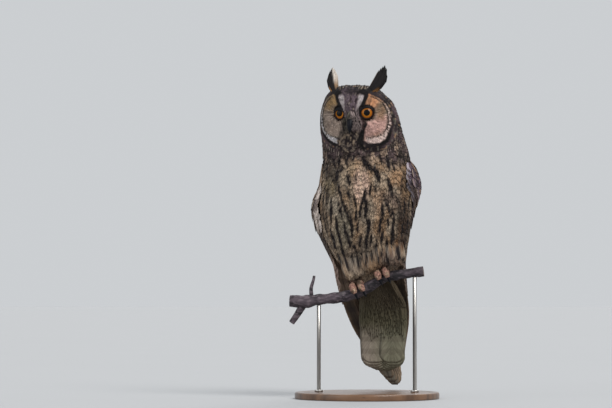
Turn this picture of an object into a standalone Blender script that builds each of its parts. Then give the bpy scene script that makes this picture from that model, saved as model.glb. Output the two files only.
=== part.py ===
"""A life-size long-eared owl, perched upright on a cut length of branch that two rods hold over a flat base.

Metres, +Z up. The owl faces -Y, so its left side is on +X. The origin is the middle of the base's underside.
Every height below is measured from that underside.
"""

import math

import bmesh
import bpy
import numpy as np

for old in list(bpy.data.objects):
    bpy.data.objects.remove(old, do_unlink=True)

GAP = 0.0003  # between nodes that touch
LEFT, RIGHT = 1.0, -1.0  # the owl's own sides, as the sign of the sideways axis
SIDES = {"left": LEFT, "right": RIGHT}

# Stations down the body, crown to vent, as the owl's coat fills it out:
# height, middle across, middle forward, half width, half depth, turn to the owl's right in degrees
BODY = np.array(
    [
        (0.3890, -0.0145, 0.0220, 0.0000, 0.0000, 18),
        (0.3880, -0.0145, 0.0220, 0.0150, 0.0140, 18),
        (0.3853, -0.0142, 0.0220, 0.0255, 0.0240, 18),
        (0.3795, -0.0140, 0.0220, 0.0340, 0.0310, 18),
        (0.3680, -0.0108, 0.0220, 0.0435, 0.0362, 18),
        (0.3520, -0.0092, 0.0210, 0.0487, 0.0385, 18),
        (0.3360, -0.0074, 0.0190, 0.0512, 0.0395, 18),
        (0.3200, -0.0043, 0.0155, 0.0528, 0.0400, 15),
        (0.3080, -0.0019, 0.0125, 0.0540, 0.0415, 11),
        (0.2900, 0.0001, 0.0090, 0.0560, 0.0445, 8),
        (0.2700, 0.0011, 0.0050, 0.0580, 0.0470, 8),
        (0.2425, -0.0012, 0.0000, 0.0585, 0.0475, 8),
        (0.2120, -0.0005, -0.0060, 0.0560, 0.0440, 8),
        (0.1860, 0.0022, -0.0130, 0.0490, 0.0385, 8),
        (0.1700, 0.0043, -0.0180, 0.0410, 0.0345, 8),
        (0.1620, 0.0059, -0.0235, 0.0350, 0.0280, 8),
        (0.1540, 0.0074, -0.0290, 0.0270, 0.0200, 8),
        (0.1450, 0.0087, -0.0320, 0.0165, 0.0130, 8),
        (0.1400, 0.0095, -0.0340, 0.0000, 0.0000, 8),
    ]
)
# The folded wings lie on the body's own sides down to the flank, and then on these stations, which pass
# behind the tail and narrow to the wing tips: the same columns as above
WING_FIRST, WING_LAST = 7, 13
WING_BED = np.array(
    [
        (0.1650, 0.0048, -0.0210, 0.0435, 0.0320, 8),
        (0.1450, 0.0069, -0.0280, 0.0425, 0.0280, 8),
        (0.1160, 0.0114, -0.0370, 0.0415, 0.0230, 8),
        (0.0925, 0.0159, -0.0440, 0.0370, 0.0195, 8),
        (0.0725, 0.0194, -0.0490, 0.0310, 0.0165, 8),
        (0.0475, 0.0221, -0.0545, 0.0245, 0.0135, 8),
        (0.0125, 0.0238, -0.0600, 0.0185, 0.0110, 8),
    ]
)
SQUARENESS = 2.2  # of every cross-section: 2 is an ellipse

HEAD_LOW = 0.3110  # where head and neck part
NECK_LOW = 0.2930  # where neck and torso part

# The face: two round dishes of feathers, side by side
FACE_HEIGHT = 0.3455
DISC_RADIUS = 0.0325
DISC_ACROSS = 0.0135  # from the face's middle to each dish's
DISC_DEPTH = 0.0050
RIM_THICK = 0.0022
BROW_RIDGE, BROW_HALF = 0.0060, 0.0060

# The eyes
EYE_ACROSS, EYE_HEIGHT = 0.0187, 0.3523
EYE_RADIUS = 0.0105
EYE_SINK = 0.0078  # from the face's surface back to the eyeball's middle
EYE_SPLAY = math.radians(14)
LID_RADIUS, LID_THICK, LID_SIDES = 0.0078, 0.0012, 14

# The branch, from its left end to its right: across, forward, height, radius
BRANCH = np.array(
    [
        (-0.096, -0.0080, 0.1215, 0.0078),
        (-0.078, -0.0055, 0.1205, 0.0082),
        (-0.060, -0.0035, 0.1232, 0.0070),
        (-0.030, 0.0010, 0.1268, 0.0068),
        (-0.010, 0.0045, 0.1325, 0.0069),
        (0.008, 0.0065, 0.1425, 0.0066),
        (0.024, 0.0088, 0.1510, 0.0064),
        (0.045, 0.0115, 0.1548, 0.0062),
        (0.070, 0.0150, 0.1580, 0.0066),
    ]
)
TWIG_ACROSS, TWIG_LENGTH, TWIG_RADIUS = -0.070, 0.0315, 0.0021
FORK_ACROSS, FORK_LENGTH, FORK_RADIUS = -0.078, 0.026, 0.0054
FOOT_ACROSS = {"left": 0.0215, "right": -0.0090}

# The stand
BASE_RADIUS, BASE_THICK, BASE_BEVEL, BASE_SIDES = 0.0900, 0.0080, 0.0020, 40
ROD_RADIUS, ROD_SINK = 0.0025, 0.0030
ROD_ACROSS = {"left": 0.0590, "right": -0.0600}


def along(table, at, key=0):
    """Rows of the table at the given values of its key column, on a smooth curve that doesn't overshoot."""
    table = table[np.argsort(table[:, key])]
    xs = table[:, key]
    at = np.clip(np.atleast_1d(np.asarray(at, float)), xs[0], xs[-1])
    step = np.diff(xs)[:, None]
    rise = np.diff(table, axis=0) / step
    slope = np.zeros_like(table)
    same = rise[1:] * rise[:-1] > 0
    mean = 2 * rise[1:] * rise[:-1] / np.where(same, rise[1:] + rise[:-1], 1)
    slope[1:-1] = np.where(same, mean, 0)
    slope[0], slope[-1] = rise[0], rise[-1]
    i = np.clip(np.searchsorted(xs, at, side="right") - 1, 0, len(xs) - 2)
    t = ((at - xs[i]) / step[i, 0])[:, None]
    h = step[i]
    return (
        (1 + 2 * t) * (1 - t) ** 2 * table[i]
        + t * (1 - t) ** 2 * h * slope[i]
        + t * t * (3 - 2 * t) * table[i + 1]
        + t * t * (t - 1) * h * slope[i + 1]
    )


def placed(station, across, forward, height):
    """World points from a station's own sideways and forward distances."""
    turn = np.radians(station[..., 5])
    x = station[..., 1] + across * np.cos(turn) - forward * np.sin(turn)
    y = -station[..., 2] - across * np.sin(turn) - forward * np.cos(turn)
    return np.stack([x, y, np.broadcast_to(height, x.shape)], axis=-1)


def smooth_step(value, low, high):
    t = np.clip((value - low) / (high - low), 0, 1)
    return t * t * (3 - 2 * t)


def face_relief(across, height):
    """How far the face stands forward of the plain head: two hollow dishes, and a ridge down to the bill."""
    from_middle = np.hypot(np.abs(across) - DISC_ACROSS, height - FACE_HEIGHT) / DISC_RADIUS
    dish = -DISC_DEPTH * np.clip(1 - from_middle**2, 0, 1)
    window = smooth_step(height, FACE_HEIGHT - 0.022, FACE_HEIGHT - 0.006)
    window = window * (1 - smooth_step(height, FACE_HEIGHT + 0.016, FACE_HEIGHT + 0.036))
    return dish + BROW_RIDGE * np.exp(-((across / BROW_HALF) ** 2)) * window


def section(station, angle, grow=0.0):
    """A station's outline at angles from straight ahead towards the owl's left: (across, forward)."""
    s, c = np.sin(angle), np.cos(angle)
    reach = (np.abs(s) ** SQUARENESS + np.abs(c) ** SQUARENESS) ** (-1 / SQUARENESS)
    return (station[..., 3] + grow) * reach * s, (station[..., 4] + grow) * reach * c


def body_rings(heights, sides, grow=0.0):
    """Closed rings of the body at these heights. Their points crowd towards the front, where the face is."""
    turn = np.linspace(0, 2 * math.pi, sides, endpoint=False)
    turn = turn - 0.30 * np.sin(turn)
    rows = along(BODY, heights)[:, None, :]
    across, forward = section(rows, turn[None, :], grow)
    high = np.broadcast_to(np.asarray(heights)[:, None], across.shape)
    in_front = smooth_step(forward, 0.002, 0.016)
    forward = forward + in_front * face_relief(across, high)
    return placed(rows, across, forward, high)


def face_point(across, height):
    """(forward distance, world point) of the face's surface at a sideways distance and a height."""
    row = along(BODY, height)[0]
    ratio = min(abs(across) / row[3], 1.0)
    forward = row[4] * (1 - ratio**SQUARENESS) ** (1 / SQUARENESS)
    forward += float(smooth_step(forward, 0.002, 0.016) * face_relief(across, height))
    return forward, placed(row, across, forward, height)


def mesh_object(name, points, faces):
    mesh = bpy.data.meshes.new(name)
    mesh.from_pydata([tuple(map(float, p)) for p in points], [], faces)
    work = bmesh.new()
    work.from_mesh(mesh)
    bmesh.ops.recalc_face_normals(work, faces=work.faces)
    work.to_mesh(mesh)
    work.free()
    made = bpy.data.objects.new(name, mesh)
    bpy.context.scene.collection.objects.link(made)
    return made


def loft(name, rings):
    """A closed body through closed rings of points. A ring whose points all meet becomes one point."""
    points, starts, faces = [], [], []
    for ring in rings:
        ring = np.asarray(ring)
        meets = np.ptp(ring, axis=0).max() < 1e-7
        starts.append((len(points), meets))
        points.extend(ring[:1] if meets else ring)
    count = len(rings[1])
    for (a, a_meets), (b, b_meets) in zip(starts, starts[1:]):
        for k in range(count):
            n = (k + 1) % count
            if a_meets:
                faces.append((a, b + k, b + n))
            elif b_meets:
                faces.append((a + k, b, a + n))
            else:
                faces.append((a + k, b + k, b + n, a + n))
    for start, meets in (starts[0], starts[-1]):
        if not meets:
            faces.append(tuple(range(start, start + count)))
    return mesh_object(name, points, faces)


def plate(name, outer, inner):
    """A closed thin body between two grids of points, outer and inner: rows down its length, columns across.
    Both faces are split into triangles along the same diagonals, so that they never cross."""
    rows, columns = outer.shape[:2]
    points = np.concatenate([outer.reshape(-1, 3), inner.reshape(-1, 3)])
    under = rows * columns
    faces = []
    for i in range(rows - 1):
        for j in range(columns - 1):
            a = i * columns + j
            b, c, d = a + 1, a + columns + 1, a + columns
            faces += [(a, b, c), (a, c, d)]
            faces += [(under + a, under + c, under + b), (under + a, under + d, under + c)]
    rim = [j for j in range(columns)]
    rim += [i * columns + columns - 1 for i in range(1, rows)]
    rim += [(rows - 1) * columns + j for j in range(columns - 2, -1, -1)]
    rim += [i * columns for i in range(rows - 2, 0, -1)]
    for a, b in zip(rim, rim[1:] + rim[:1]):
        faces += [(a, under + a, under + b), (a, under + b, b)]
    return mesh_object(name, points, faces)


def tube(name, path, radii, sides=8, flat=1.0):
    """A round tube along a path. A radius of 0 at an end makes a point. flat squeezes its second axis."""
    path, radii = np.asarray(path, float), np.asarray(radii, float)
    ahead = np.gradient(path, axis=0)
    ahead /= np.linalg.norm(ahead, axis=1)[:, None]
    side = np.cross(ahead[0], (0, 0, 1) if abs(ahead[0][2]) < 0.9 else (0, 1, 0))
    rings = []
    turn = np.linspace(0, 2 * math.pi, sides, endpoint=False)
    for point, forward, radius in zip(path, ahead, radii):
        side = side - forward * (side @ forward)
        side /= np.linalg.norm(side)
        up = np.cross(side, forward)
        spread = np.outer(np.cos(turn), side) + flat * np.outer(np.sin(turn), up)
        rings.append(point + radius * spread)
    return loft(name, rings)


def ball(name, centre, radius, across=16, rings=10):
    made = [np.repeat([np.asarray(centre) + (0, 0, radius)], across, axis=0)]
    turn = np.linspace(0, 2 * math.pi, across, endpoint=False)
    for tilt in np.linspace(0, math.pi, rings + 1)[1:-1]:
        reach = radius * math.sin(tilt)
        height = np.full(across, radius * math.cos(tilt))
        flat = np.stack([np.cos(turn) * reach, np.sin(turn) * reach, height], 1)
        made.append(np.asarray(centre) + flat)
    made.append(np.repeat([np.asarray(centre) - (0, 0, radius)], across, axis=0))
    return loft(name, made)


def settle(obj):
    """Applies the object's modifiers to its mesh."""
    bpy.context.view_layer.update()
    graph = bpy.context.evaluated_depsgraph_get()
    mesh = bpy.data.meshes.new_from_object(obj.evaluated_get(graph))
    obj.modifiers.clear()
    obj.data = mesh


def keep_largest(obj):
    """Leaves only the closed surface with the most volume."""
    work = bmesh.new()
    work.from_mesh(obj.data)
    bmesh.ops.triangulate(work, faces=work.faces)
    left, shells = set(work.faces), []
    while left:
        shell, edge = set(), [left.pop()]
        while edge:
            face = edge.pop()
            shell.add(face)
            for side in face.edges:
                for other in side.link_faces:
                    if other in left:
                        left.discard(other)
                        edge.append(other)
        volume = sum(f.verts[0].co.dot(f.verts[1].co.cross(f.verts[2].co)) for f in shell)
        shells.append((volume, shell))
    keep = max(shells, key=lambda pair: pair[0])[1]
    drop = [f for f in work.faces if f not in keep]
    bmesh.ops.delete(work, geom=drop, context="FACES")
    work.to_mesh(obj.data)
    work.free()


def fuse(base, extras=(), cutters=(), solver="MANIFOLD"):
    """Joins the extras to the base, cuts the cutters from it, and removes them all."""
    if extras:
        group = bpy.data.collections.new("joined")
        bpy.context.scene.collection.children.link(group)
        for extra in extras:
            bpy.context.scene.collection.objects.unlink(extra)
            group.objects.link(extra)
        union = base.modifiers.new("union", "BOOLEAN")
        union.operation, union.operand_type = "UNION", "COLLECTION"
        union.collection, union.solver = group, solver
        settle(base)
        for extra in extras:
            bpy.data.objects.remove(extra, do_unlink=True)
        bpy.data.collections.remove(group)
    for cutter in cutters:
        cut = base.modifiers.new("cut", "BOOLEAN")
        cut.operation, cut.object, cut.solver = "DIFFERENCE", cutter, solver
        settle(base)
        bpy.data.objects.remove(cutter, do_unlink=True)
    keep_largest(base)
    return base


def material(name, colour, roughness, metallic=0.0):
    made = bpy.data.materials.new(name)
    made.use_nodes = True
    shader = made.node_tree.nodes["Principled BSDF"]
    shader.inputs["Base Color"].default_value = (*colour, 1.0)
    shader.inputs["Roughness"].default_value = roughness
    shader.inputs["Metallic"].default_value = metallic
    return made


PLUMAGE = material("plumage", (0.30, 0.21, 0.14), 0.85)
WING = material("wing_feathers", (0.20, 0.15, 0.12), 0.75)
TAIL = material("tail_feathers", (0.36, 0.31, 0.26), 0.75)
TUFT = material("tuft_feathers", (0.05, 0.04, 0.04), 0.80)
FOOT = material("foot_feathers", (0.55, 0.40, 0.28), 0.85)
HORN = material("horn", (0.03, 0.03, 0.035), 0.35)
EYE = material("eye", (0.85, 0.35, 0.04), 0.08)
BARK = material("bark", (0.10, 0.07, 0.06), 0.90)
WOOD = material("stand_wood", (0.16, 0.09, 0.05), 0.45)
STEEL = material("stand_steel", (0.45, 0.42, 0.38), 0.35, 0.9)


def finish(obj, name, finish_of, smooth=True):
    obj.name = obj.data.name = name
    obj.data.materials.clear()
    obj.data.materials.append(finish_of)
    if smooth:
        obj.data.shade_smooth()
        obj.data.set_sharp_from_angle(angle=math.radians(40))
    return obj


# Body: head, neck and torso are lengths of one form, parted by level cuts
HEAD_STEPS = [0.3890, 0.3882, 0.3865, 0.3835, 0.3795, 0.3750, 0.3700, 0.3645, 0.3590, 0.3535, 0.3480]
HEAD_HEIGHTS = np.concatenate([HEAD_STEPS, np.linspace(0.3425, HEAD_LOW, 7)])
NECK_HEIGHTS = np.linspace(HEAD_LOW - GAP, NECK_LOW, 4)
TORSO_LOW = [0.163, 0.157, 0.151, 0.1455, 0.1420, 0.1400]
TORSO_HEIGHTS = np.concatenate([np.linspace(NECK_LOW - GAP, 0.170, 12), TORSO_LOW])
BODY_SIDES, HEAD_SIDES = 28, 36
EYE_SIDES, EYE_RINGS = 14, 9


def body_length(name, heights, grow=0.0, sides=BODY_SIDES):
    return loft(name, list(body_rings(heights, sides, grow)))


def torso_cutter():
    """The torso and neck grown by the gap, for what lies against them."""
    heights = np.concatenate([np.linspace(HEAD_LOW, 0.170, 15), TORSO_LOW])
    return body_length("torso_cutter", heights, GAP)


# Eyes
def eye_place(side):
    """(middle of the eyeball, direction that it looks in)"""
    forward, _ = face_point(side * EYE_ACROSS, EYE_HEIGHT)
    row = along(BODY, EYE_HEIGHT)[0]
    back = forward - EYE_SINK * math.cos(EYE_SPLAY)
    centre = placed(row, side * (EYE_ACROSS - EYE_SINK * math.sin(EYE_SPLAY)), back, EYE_HEIGHT)
    ahead = placed(row, side * EYE_ACROSS, forward, EYE_HEIGHT) - centre
    return centre, ahead / np.linalg.norm(ahead)


def ring_path(centre, normal, radius, count):
    side = np.cross(normal, (0, 0, 1))
    side /= np.linalg.norm(side)
    up = np.cross(side, normal)
    turn = np.linspace(0, 2 * math.pi, count, endpoint=False)
    return centre + radius * (np.outer(np.cos(turn), side) + np.outer(np.sin(turn), up)), side, up, turn


def lid_ring(name, centre, gaze):
    """A closed roll round the eye's opening."""
    path, side, up, turn = ring_path(centre + gaze * 0.0076, gaze, LID_RADIUS, LID_SIDES)
    small = np.linspace(0, 2 * math.pi, 5, endpoint=False)
    points, faces = [], []
    for middle, angle in zip(path, turn):
        out = math.cos(angle) * side + math.sin(angle) * up
        for tilt in small:
            points.append(middle + LID_THICK * (math.cos(tilt) * out + math.sin(tilt) * gaze))
    for k in range(LID_SIDES):
        for m in range(5):
            a, b = k * 5 + m, k * 5 + (m + 1) % 5
            n = ((k + 1) % LID_SIDES) * 5
            faces.append((a, b, n + (m + 1) % 5, n + m))
    return mesh_object(name, points, faces)


def rim(name, side):
    """The ruff along one dish's edge, from the brow's middle round the cheek to the chin."""
    stop = math.radians(110)
    path = []
    for turn in np.linspace(stop, -stop, 14):
        across = side * (DISC_ACROSS + DISC_RADIUS * math.cos(turn))
        height = FACE_HEIGHT + DISC_RADIUS * math.sin(turn)
        path.append(face_point(across, height)[1])
    return tube(name, path, np.full(len(path), RIM_THICK), 5)


# Bill: a short hook, mostly hidden in the face, with the lower half behind it
BILL_PATH = np.array(  # forward, height, half width
    [
        (0.0330, 0.3485, 0.0050),
        (0.0400, 0.3465, 0.0048),
        (0.0450, 0.3420, 0.0040),
        (0.0468, 0.3365, 0.0028),
        (0.0462, 0.3320, 0.0015),
        (0.0448, 0.3290, 0.0000),
    ]
)
LOWER_BILL_PATH = np.array([(0.0330, 0.3370, 0.0036), (0.0405, 0.3360, 0.0030), (0.0440, 0.3343, 0.0016)])
NOSTRIL_RADIUS = 0.0009


def bill_piece(name, rows, sides):
    row = along(BODY, FACE_HEIGHT)[0]
    path = [placed(row, 0.0, forward, height) for forward, height, _ in rows]
    return tube(name, path, rows[:, 2], sides)


def make_bill():
    upper = bill_piece("upper_bill", BILL_PATH, 10)
    lower = bill_piece("lower_bill", LOWER_BILL_PATH, 8)
    row = along(BODY, FACE_HEIGHT)[0]
    nostrils = []
    for side in SIDES.values():
        place = placed(row, side * 0.0042, 0.0432, 0.3443)
        nostrils.append(ball("nostril", place, NOSTRIL_RADIUS, 6, 4))
    return fuse(upper, [lower], nostrils)


def bill_cutter():
    """The bill grown by the gap, to seat it in the head."""
    upper = BILL_PATH + (0, 0, GAP)
    lower = LOWER_BILL_PATH + (0, 0, GAP)
    grown = bill_piece("bill_cutter", upper, 10)
    return fuse(grown, [bill_piece("lower_cutter", lower, 8)])


def make_head():
    head = body_length("head", HEAD_HEIGHTS, sides=HEAD_SIDES)
    extras = [rim(f"rim_{word}", side) for word, side in SIDES.items()]
    cutters = [bill_cutter()]
    for word, side in SIDES.items():
        centre, gaze = eye_place(side)
        extras.append(lid_ring(f"lid_{word}", centre, gaze))
        cutters.append(ball(f"socket_{word}", centre, EYE_RADIUS + GAP, EYE_SIDES, EYE_RINGS))
    return fuse(head, extras, cutters)


# Ear tufts
TUFT_BASE = (0.0245, 0.0175, 0.3810)  # across, forward of the head's middle, height
TUFT_TIP = (0.0340, -0.0020, 0.4130)
TUFT_ROW = 0.375  # the height whose middle they are measured from
TUFT_WIDTH = {"left": 0.0140, "right": 0.0115}
TUFT_FEATHERS = 5


def tuft_frame(side):
    row = along(BODY, TUFT_ROW)[0]
    low = placed(row, side * TUFT_BASE[0], TUFT_BASE[1], TUFT_BASE[2])
    high = placed(row, side * TUFT_TIP[0], TUFT_TIP[1], TUFT_TIP[2])
    return low, high


def plume(name, path, across, out, widths, thick=0.0005):
    """A feather's vane along a path, as a closed plate with a slightly raised shaft."""
    rows = []
    for lift in (thick / 2, -thick / 2):
        shares = np.array([-1.0, 0.0, 1.0])
        rise = np.array([0.0, SHAFT_RISE if lift > 0 else 0.0, 0.0]) + lift
        spread = shares[None, :, None] * (widths[:, None, None] / 2) * across
        rows.append(path[:, None, :] + spread + rise[None, :, None] * out)
    return plate(name, *rows)


def make_tuft(name, side, width):
    """A bundle of upright feathers, fanned a little, on a short core."""
    low, high = tuft_frame(side)
    along_it = high - low
    length = np.linalg.norm(along_it)
    along_it /= length
    across = np.array([math.cos(math.radians(18)), -math.sin(math.radians(18)), 0.0])
    across -= along_it * (across @ along_it)
    across /= np.linalg.norm(across)
    out = np.cross(along_it, across)
    core_path = [low - along_it * 0.006, low + along_it * 0.004, low + along_it * 0.011]
    core = tube(name, core_path, [0.0042, 0.0036, 0.0], 8)
    feathers = []
    for k in range(TUFT_FEATHERS):
        share = k / (TUFT_FEATHERS - 1) - 0.5
        reach = length * (1.0 - 0.22 * abs(share) * 2 - 0.05 * (k % 2))
        steps = np.array([0.0, 0.35, 0.72, 1.0])
        bow = across * share * (width * 0.45)
        start = low + out * (k - (TUFT_FEATHERS - 1) / 2) * 0.0011
        path = start + np.outer(steps * reach, along_it) + np.outer(np.sin(steps * 2.2), bow)
        widths = width * 0.62 * np.array([0.70, 1.0, 0.80, 0.16])
        feathers.append(plume("tuft_feather", path, across, out, widths))
    return fuse(core, feathers)


# Branch and what grips it
def branch_at(across):
    row = along(BRANCH, across)[0]
    return np.array([row[0], -row[1], row[2]]), row[3]


def branch_rings(grow=0.0, first=None, last=None):
    first = BRANCH[0, 0] if first is None else first
    last = BRANCH[-1, 0] if last is None else last
    path, radii = [], []
    for across in np.linspace(first, last, 19):
        point, radius = branch_at(across)
        swell = 1 + 0.04 * math.sin(across * 410) + 0.03 * math.sin(across * 173 + 1)
        path.append(point)
        radii.append(radius * swell + grow)
    return path, radii


def make_branch():
    branch = tube("perch", *branch_rings(), 10)
    twig_root, _ = branch_at(TWIG_ACROSS)
    twig = twig_root + np.array([(0, 0, 0), (0.001, 0, TWIG_LENGTH * 0.5), (0.004, 0, TWIG_LENGTH)])
    fork_root, _ = branch_at(FORK_ACROSS)
    half_way = (-0.008, 0.004, -FORK_LENGTH * 0.5)
    fork = fork_root + np.array([(0, 0, 0), half_way, (-0.017, 0.008, -FORK_LENGTH)])
    extras = [
        tube("twig", twig, [TWIG_RADIUS * 1.5, TWIG_RADIUS, TWIG_RADIUS * 0.8], 6),
        tube("fork", fork, [FORK_RADIUS, FORK_RADIUS * 0.8, FORK_RADIUS * 0.7], 8),
    ]
    cutters = [rod(f"seat_{word}", word, GAP, 0.0) for word in SIDES]
    return fuse(branch, extras, cutters)


def rod(name, word, grow, low_end):
    """A stand rod, from its seat in the base to its seat in the branch. grow makes the seats' cutter."""
    point, radius = branch_at(ROD_ACROSS[word])
    top = point[2] - radius + ROD_SINK
    low = BASE_THICK - ROD_SINK
    ends = [(point[0], point[1], low - grow), (point[0], point[1], top + grow)]
    return tube(name, ends, [ROD_RADIUS + grow] * 2, 12)


def make_base():
    turn = np.linspace(0, 2 * math.pi, BASE_SIDES, endpoint=False)
    rings = []
    low, high = BASE_BEVEL / 2, BASE_THICK - BASE_BEVEL
    for height, inset in ((0, low), (low, 0), (high, 0), (BASE_THICK, BASE_BEVEL)):
        reach = BASE_RADIUS - inset
        level = np.full(BASE_SIDES, height)
        rings.append(np.stack([np.cos(turn) * reach, np.sin(turn) * reach, level], 1))
    base = loft("stand_base", rings)
    return fuse(base, (), [rod(f"hole_{word}", word, GAP, 0.0) for word in SIDES])


# Feet: two toes wrap over the front of the branch and two over its back
TOE_RADIUS = 0.0040
TOE_SPACING = 0.0105
CLAW_RADIUS, CLAW_SWEEP = 0.0017, math.radians(58)
TOES = {  # name: (place along the branch, +1 front or -1 back, where it ends in degrees from the top)
    "inner_front": (-0.5, 1, 92),
    "outer_front": (0.5, 1, 98),
    "inner_back": (-0.45, -1, 78),
    "outer_back": (0.45, -1, 84),
}
LEG_TOP = 0.0300  # above the branch's middle
LEG_RADIUS = 0.0078


def grip_frame(across):
    """The branch's middle there, and its own along, front and up directions."""
    here, radius = branch_at(across)
    ahead = branch_at(across + 0.004)[0] - branch_at(across - 0.004)[0]
    ahead /= np.linalg.norm(ahead)
    front = np.cross(ahead, (0, 0, 1))
    front /= np.linalg.norm(front)
    return here, radius, ahead, front, np.cross(front, ahead)


def grip_arc(word, toe, start, stop, count, reach_over=0.0):
    """Points round the branch at the radius of a toe's middle, from start to stop degrees from the top."""
    place, way, _ = TOES[toe]
    here, radius, ahead, front, up = grip_frame(FOOT_ACROSS[word])
    middle = here + ahead * place * TOE_SPACING
    reach = radius * 1.07 + GAP + TOE_RADIUS + reach_over
    turns = np.radians(np.linspace(start, stop, count))
    return middle + reach * (np.outer(np.sin(turns), way * front) + np.outer(np.cos(turns), up))


def make_foot(word):
    here, radius, ahead, front, up = grip_frame(FOOT_ACROSS[word])
    ankle = here + up * (radius + TOE_RADIUS * 1.6)
    knee = ankle + np.array([0.0, 0.009, LEG_TOP])
    leg_path = [ankle - (0, 0, 0.002), (ankle + knee) / 2, knee]
    leg = tube(f"leg_{word}", leg_path, [0.0062, LEG_RADIUS, 0.0098], 10)
    toes = []
    for toe, (_, _, stop) in TOES.items():
        path = grip_arc(word, toe, -8, stop, 6)
        radii = TOE_RADIUS * np.array([1.0, 1.06, 1.08, 1.0, 0.98, 0.62])
        toes.append(tube(toe, path, radii, 6))
    branch = tube("branch_cutter", *branch_rings(GAP), 10)
    return fuse(leg, toes, [branch, torso_cutter()])


def claw(name, word, toe):
    """A hooked claw that carries on from the toe's end round the branch."""
    _, _, stop = TOES[toe]
    first = grip_arc(word, toe, stop, stop, 1)[0]
    path = grip_arc(word, toe, stop + 5.0, stop + math.degrees(CLAW_SWEEP), 6, -0.0008)
    radii = CLAW_RADIUS * np.array([1.0, 0.95, 0.8, 0.6, 0.35, 0.0])
    return tube(name, path, radii, 6)


# Folded wings: everything is placed by height and by distance behind the leading edge, round the wing's bed
WING_TABLE = np.concatenate([BODY[WING_FIRST : WING_LAST + 1], WING_BED])
WING_TOP = 0.2930
LOW_LEAD = (
    (0.116, -0.0104),
    (0.0925, -0.0099),
    (0.0725, -0.0097),
    (0.0475, -0.0086),
    (0.0125, -0.0074),
)
LEAD = {  # height, how far the leading edge lies ahead of the owl's side line
    "left": np.array(
        [
            (0.305, 0.004),
            (0.270, 0.021),
            (0.250, 0.002),
            (0.230, -0.019),
            (0.212, -0.024),
            (0.195, -0.023),
            (0.175, -0.018),
            (0.150, -0.012),
            *LOW_LEAD,
        ]
    ),
    "right": np.array(
        [
            (0.305, -0.002),
            (0.270, 0.004),
            (0.2425, 0.008),
            (0.220, 0.001),
            (0.200, -0.007),
            (0.180, -0.008),
            (0.150, -0.008),
            *LOW_LEAD,
        ]
    ),
}
WRIST_HEIGHT = {"left": 0.262, "right": 0.240}
WRIST_SWELL, WRIST_SPREAD = {"left": 0.0, "right": 0.0015}, 0.022
TIP_CROSS = {"left": 0.0, "right": 0.0165}  # how far the tips pass towards and over the midline
TIP_BACK = {"left": 0.0075, "right": 0.0}  # the left tips lie behind the right
CROSS_START, CROSS_END = 0.085, 0.018
BACK_START, BACK_END = 0.135, 0.090
MIDLINE_CLEAR = 0.002
TURNS = np.radians(np.linspace(0, 180, 181))


def bed_run(row):
    """Distance round a bed station's half outline from its side line, at each of TURNS."""
    across, forward = section(row, TURNS)
    run = np.concatenate([[0], np.cumsum(np.hypot(np.diff(across), np.diff(forward)))])
    return run - run[90]


def to_midline(word, height):
    """How far behind the leading edge the back's midline lies."""
    return bed_run(along(WING_TABLE, height)[0])[-1] + along(LEAD[word], height)[0, 1]


def bed_point(word, height, behind, lift):
    """World point on the wing's bed: at a height, a distance behind the leading edge, a lift off the bed."""
    side = SIDES[word]
    row = along(WING_TABLE, height)[0]
    run = bed_run(row)
    place = behind - along(LEAD[word], height)[0, 1]
    turn = np.interp(place, run, TURNS)
    x, f = (float(v) for v in section(row, turn))
    after = section(row, turn + 0.01)
    before = section(row, turn - 0.01)
    dx, df = after[0] - before[0], after[1] - before[1]
    size = math.hypot(dx, df)
    nx, nf = -df / size, dx / size
    over = max(0.0, place - run[-1])
    x -= over
    low = 1 - float(smooth_step(height, CROSS_END, CROSS_START))
    behind_it = 1 - float(smooth_step(height, BACK_END, BACK_START))
    at_wrist = math.exp(-(((height - WRIST_HEIGHT[word]) / WRIST_SPREAD) ** 2))
    swell = WRIST_SWELL[word] * at_wrist * max(0.0, nx)
    lift = lift + GAP + (swell if lift > 0 else 0.0)
    x = x + nx * lift - low * TIP_CROSS[word]
    f = f + nf * lift - behind_it * TIP_BACK[word]
    return placed(row, side * x, f, height)


def wing_plate(name, word, heights, width, thick, columns=7):
    """A closed plate on the wing's bed. At a height, width gives its two edges and thick its lift."""
    outer, inner = [], []
    for height in heights:
        front, back = width(height)
        room = to_midline(word, height) - MIDLINE_CLEAR if height > BACK_END else back
        back = min(back, room)
        across = np.linspace(front, back, columns)
        crown = np.sin(np.linspace(0.12, math.pi - 0.12, columns)) ** 0.5
        outer.append([bed_point(word, height, b, thick(height) * c) for b, c in zip(across, crown)])
        inner.append([bed_point(word, height, b, 0.0) for b in across])
    return plate(name, np.array(outer), np.array(inner))


# A wing's core plate: share of the wing's length from its top, front edge, back edge, lift of its outer face
WING_CORE = np.array(
    [
        (0.00, 0.0120, 0.030, 0.0015),
        (0.03, 0.0050, 0.045, 0.0050),
        (0.08, 0.0000, 0.070, 0.0080),
        (0.12, 0.0000, 0.085, 0.0092),
        (0.18, 0.0005, 0.085, 0.0088),
        (0.24, 0.0010, 0.082, 0.0070),
        (0.31, 0.0020, 0.074, 0.0044),
        (0.38, 0.0050, 0.060, 0.0020),
    ]
)
WING_END = {"left": 0.0300, "right": 0.0127}
VANE_THICK, SHAFT_RISE = 0.0005, 0.0001
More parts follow.
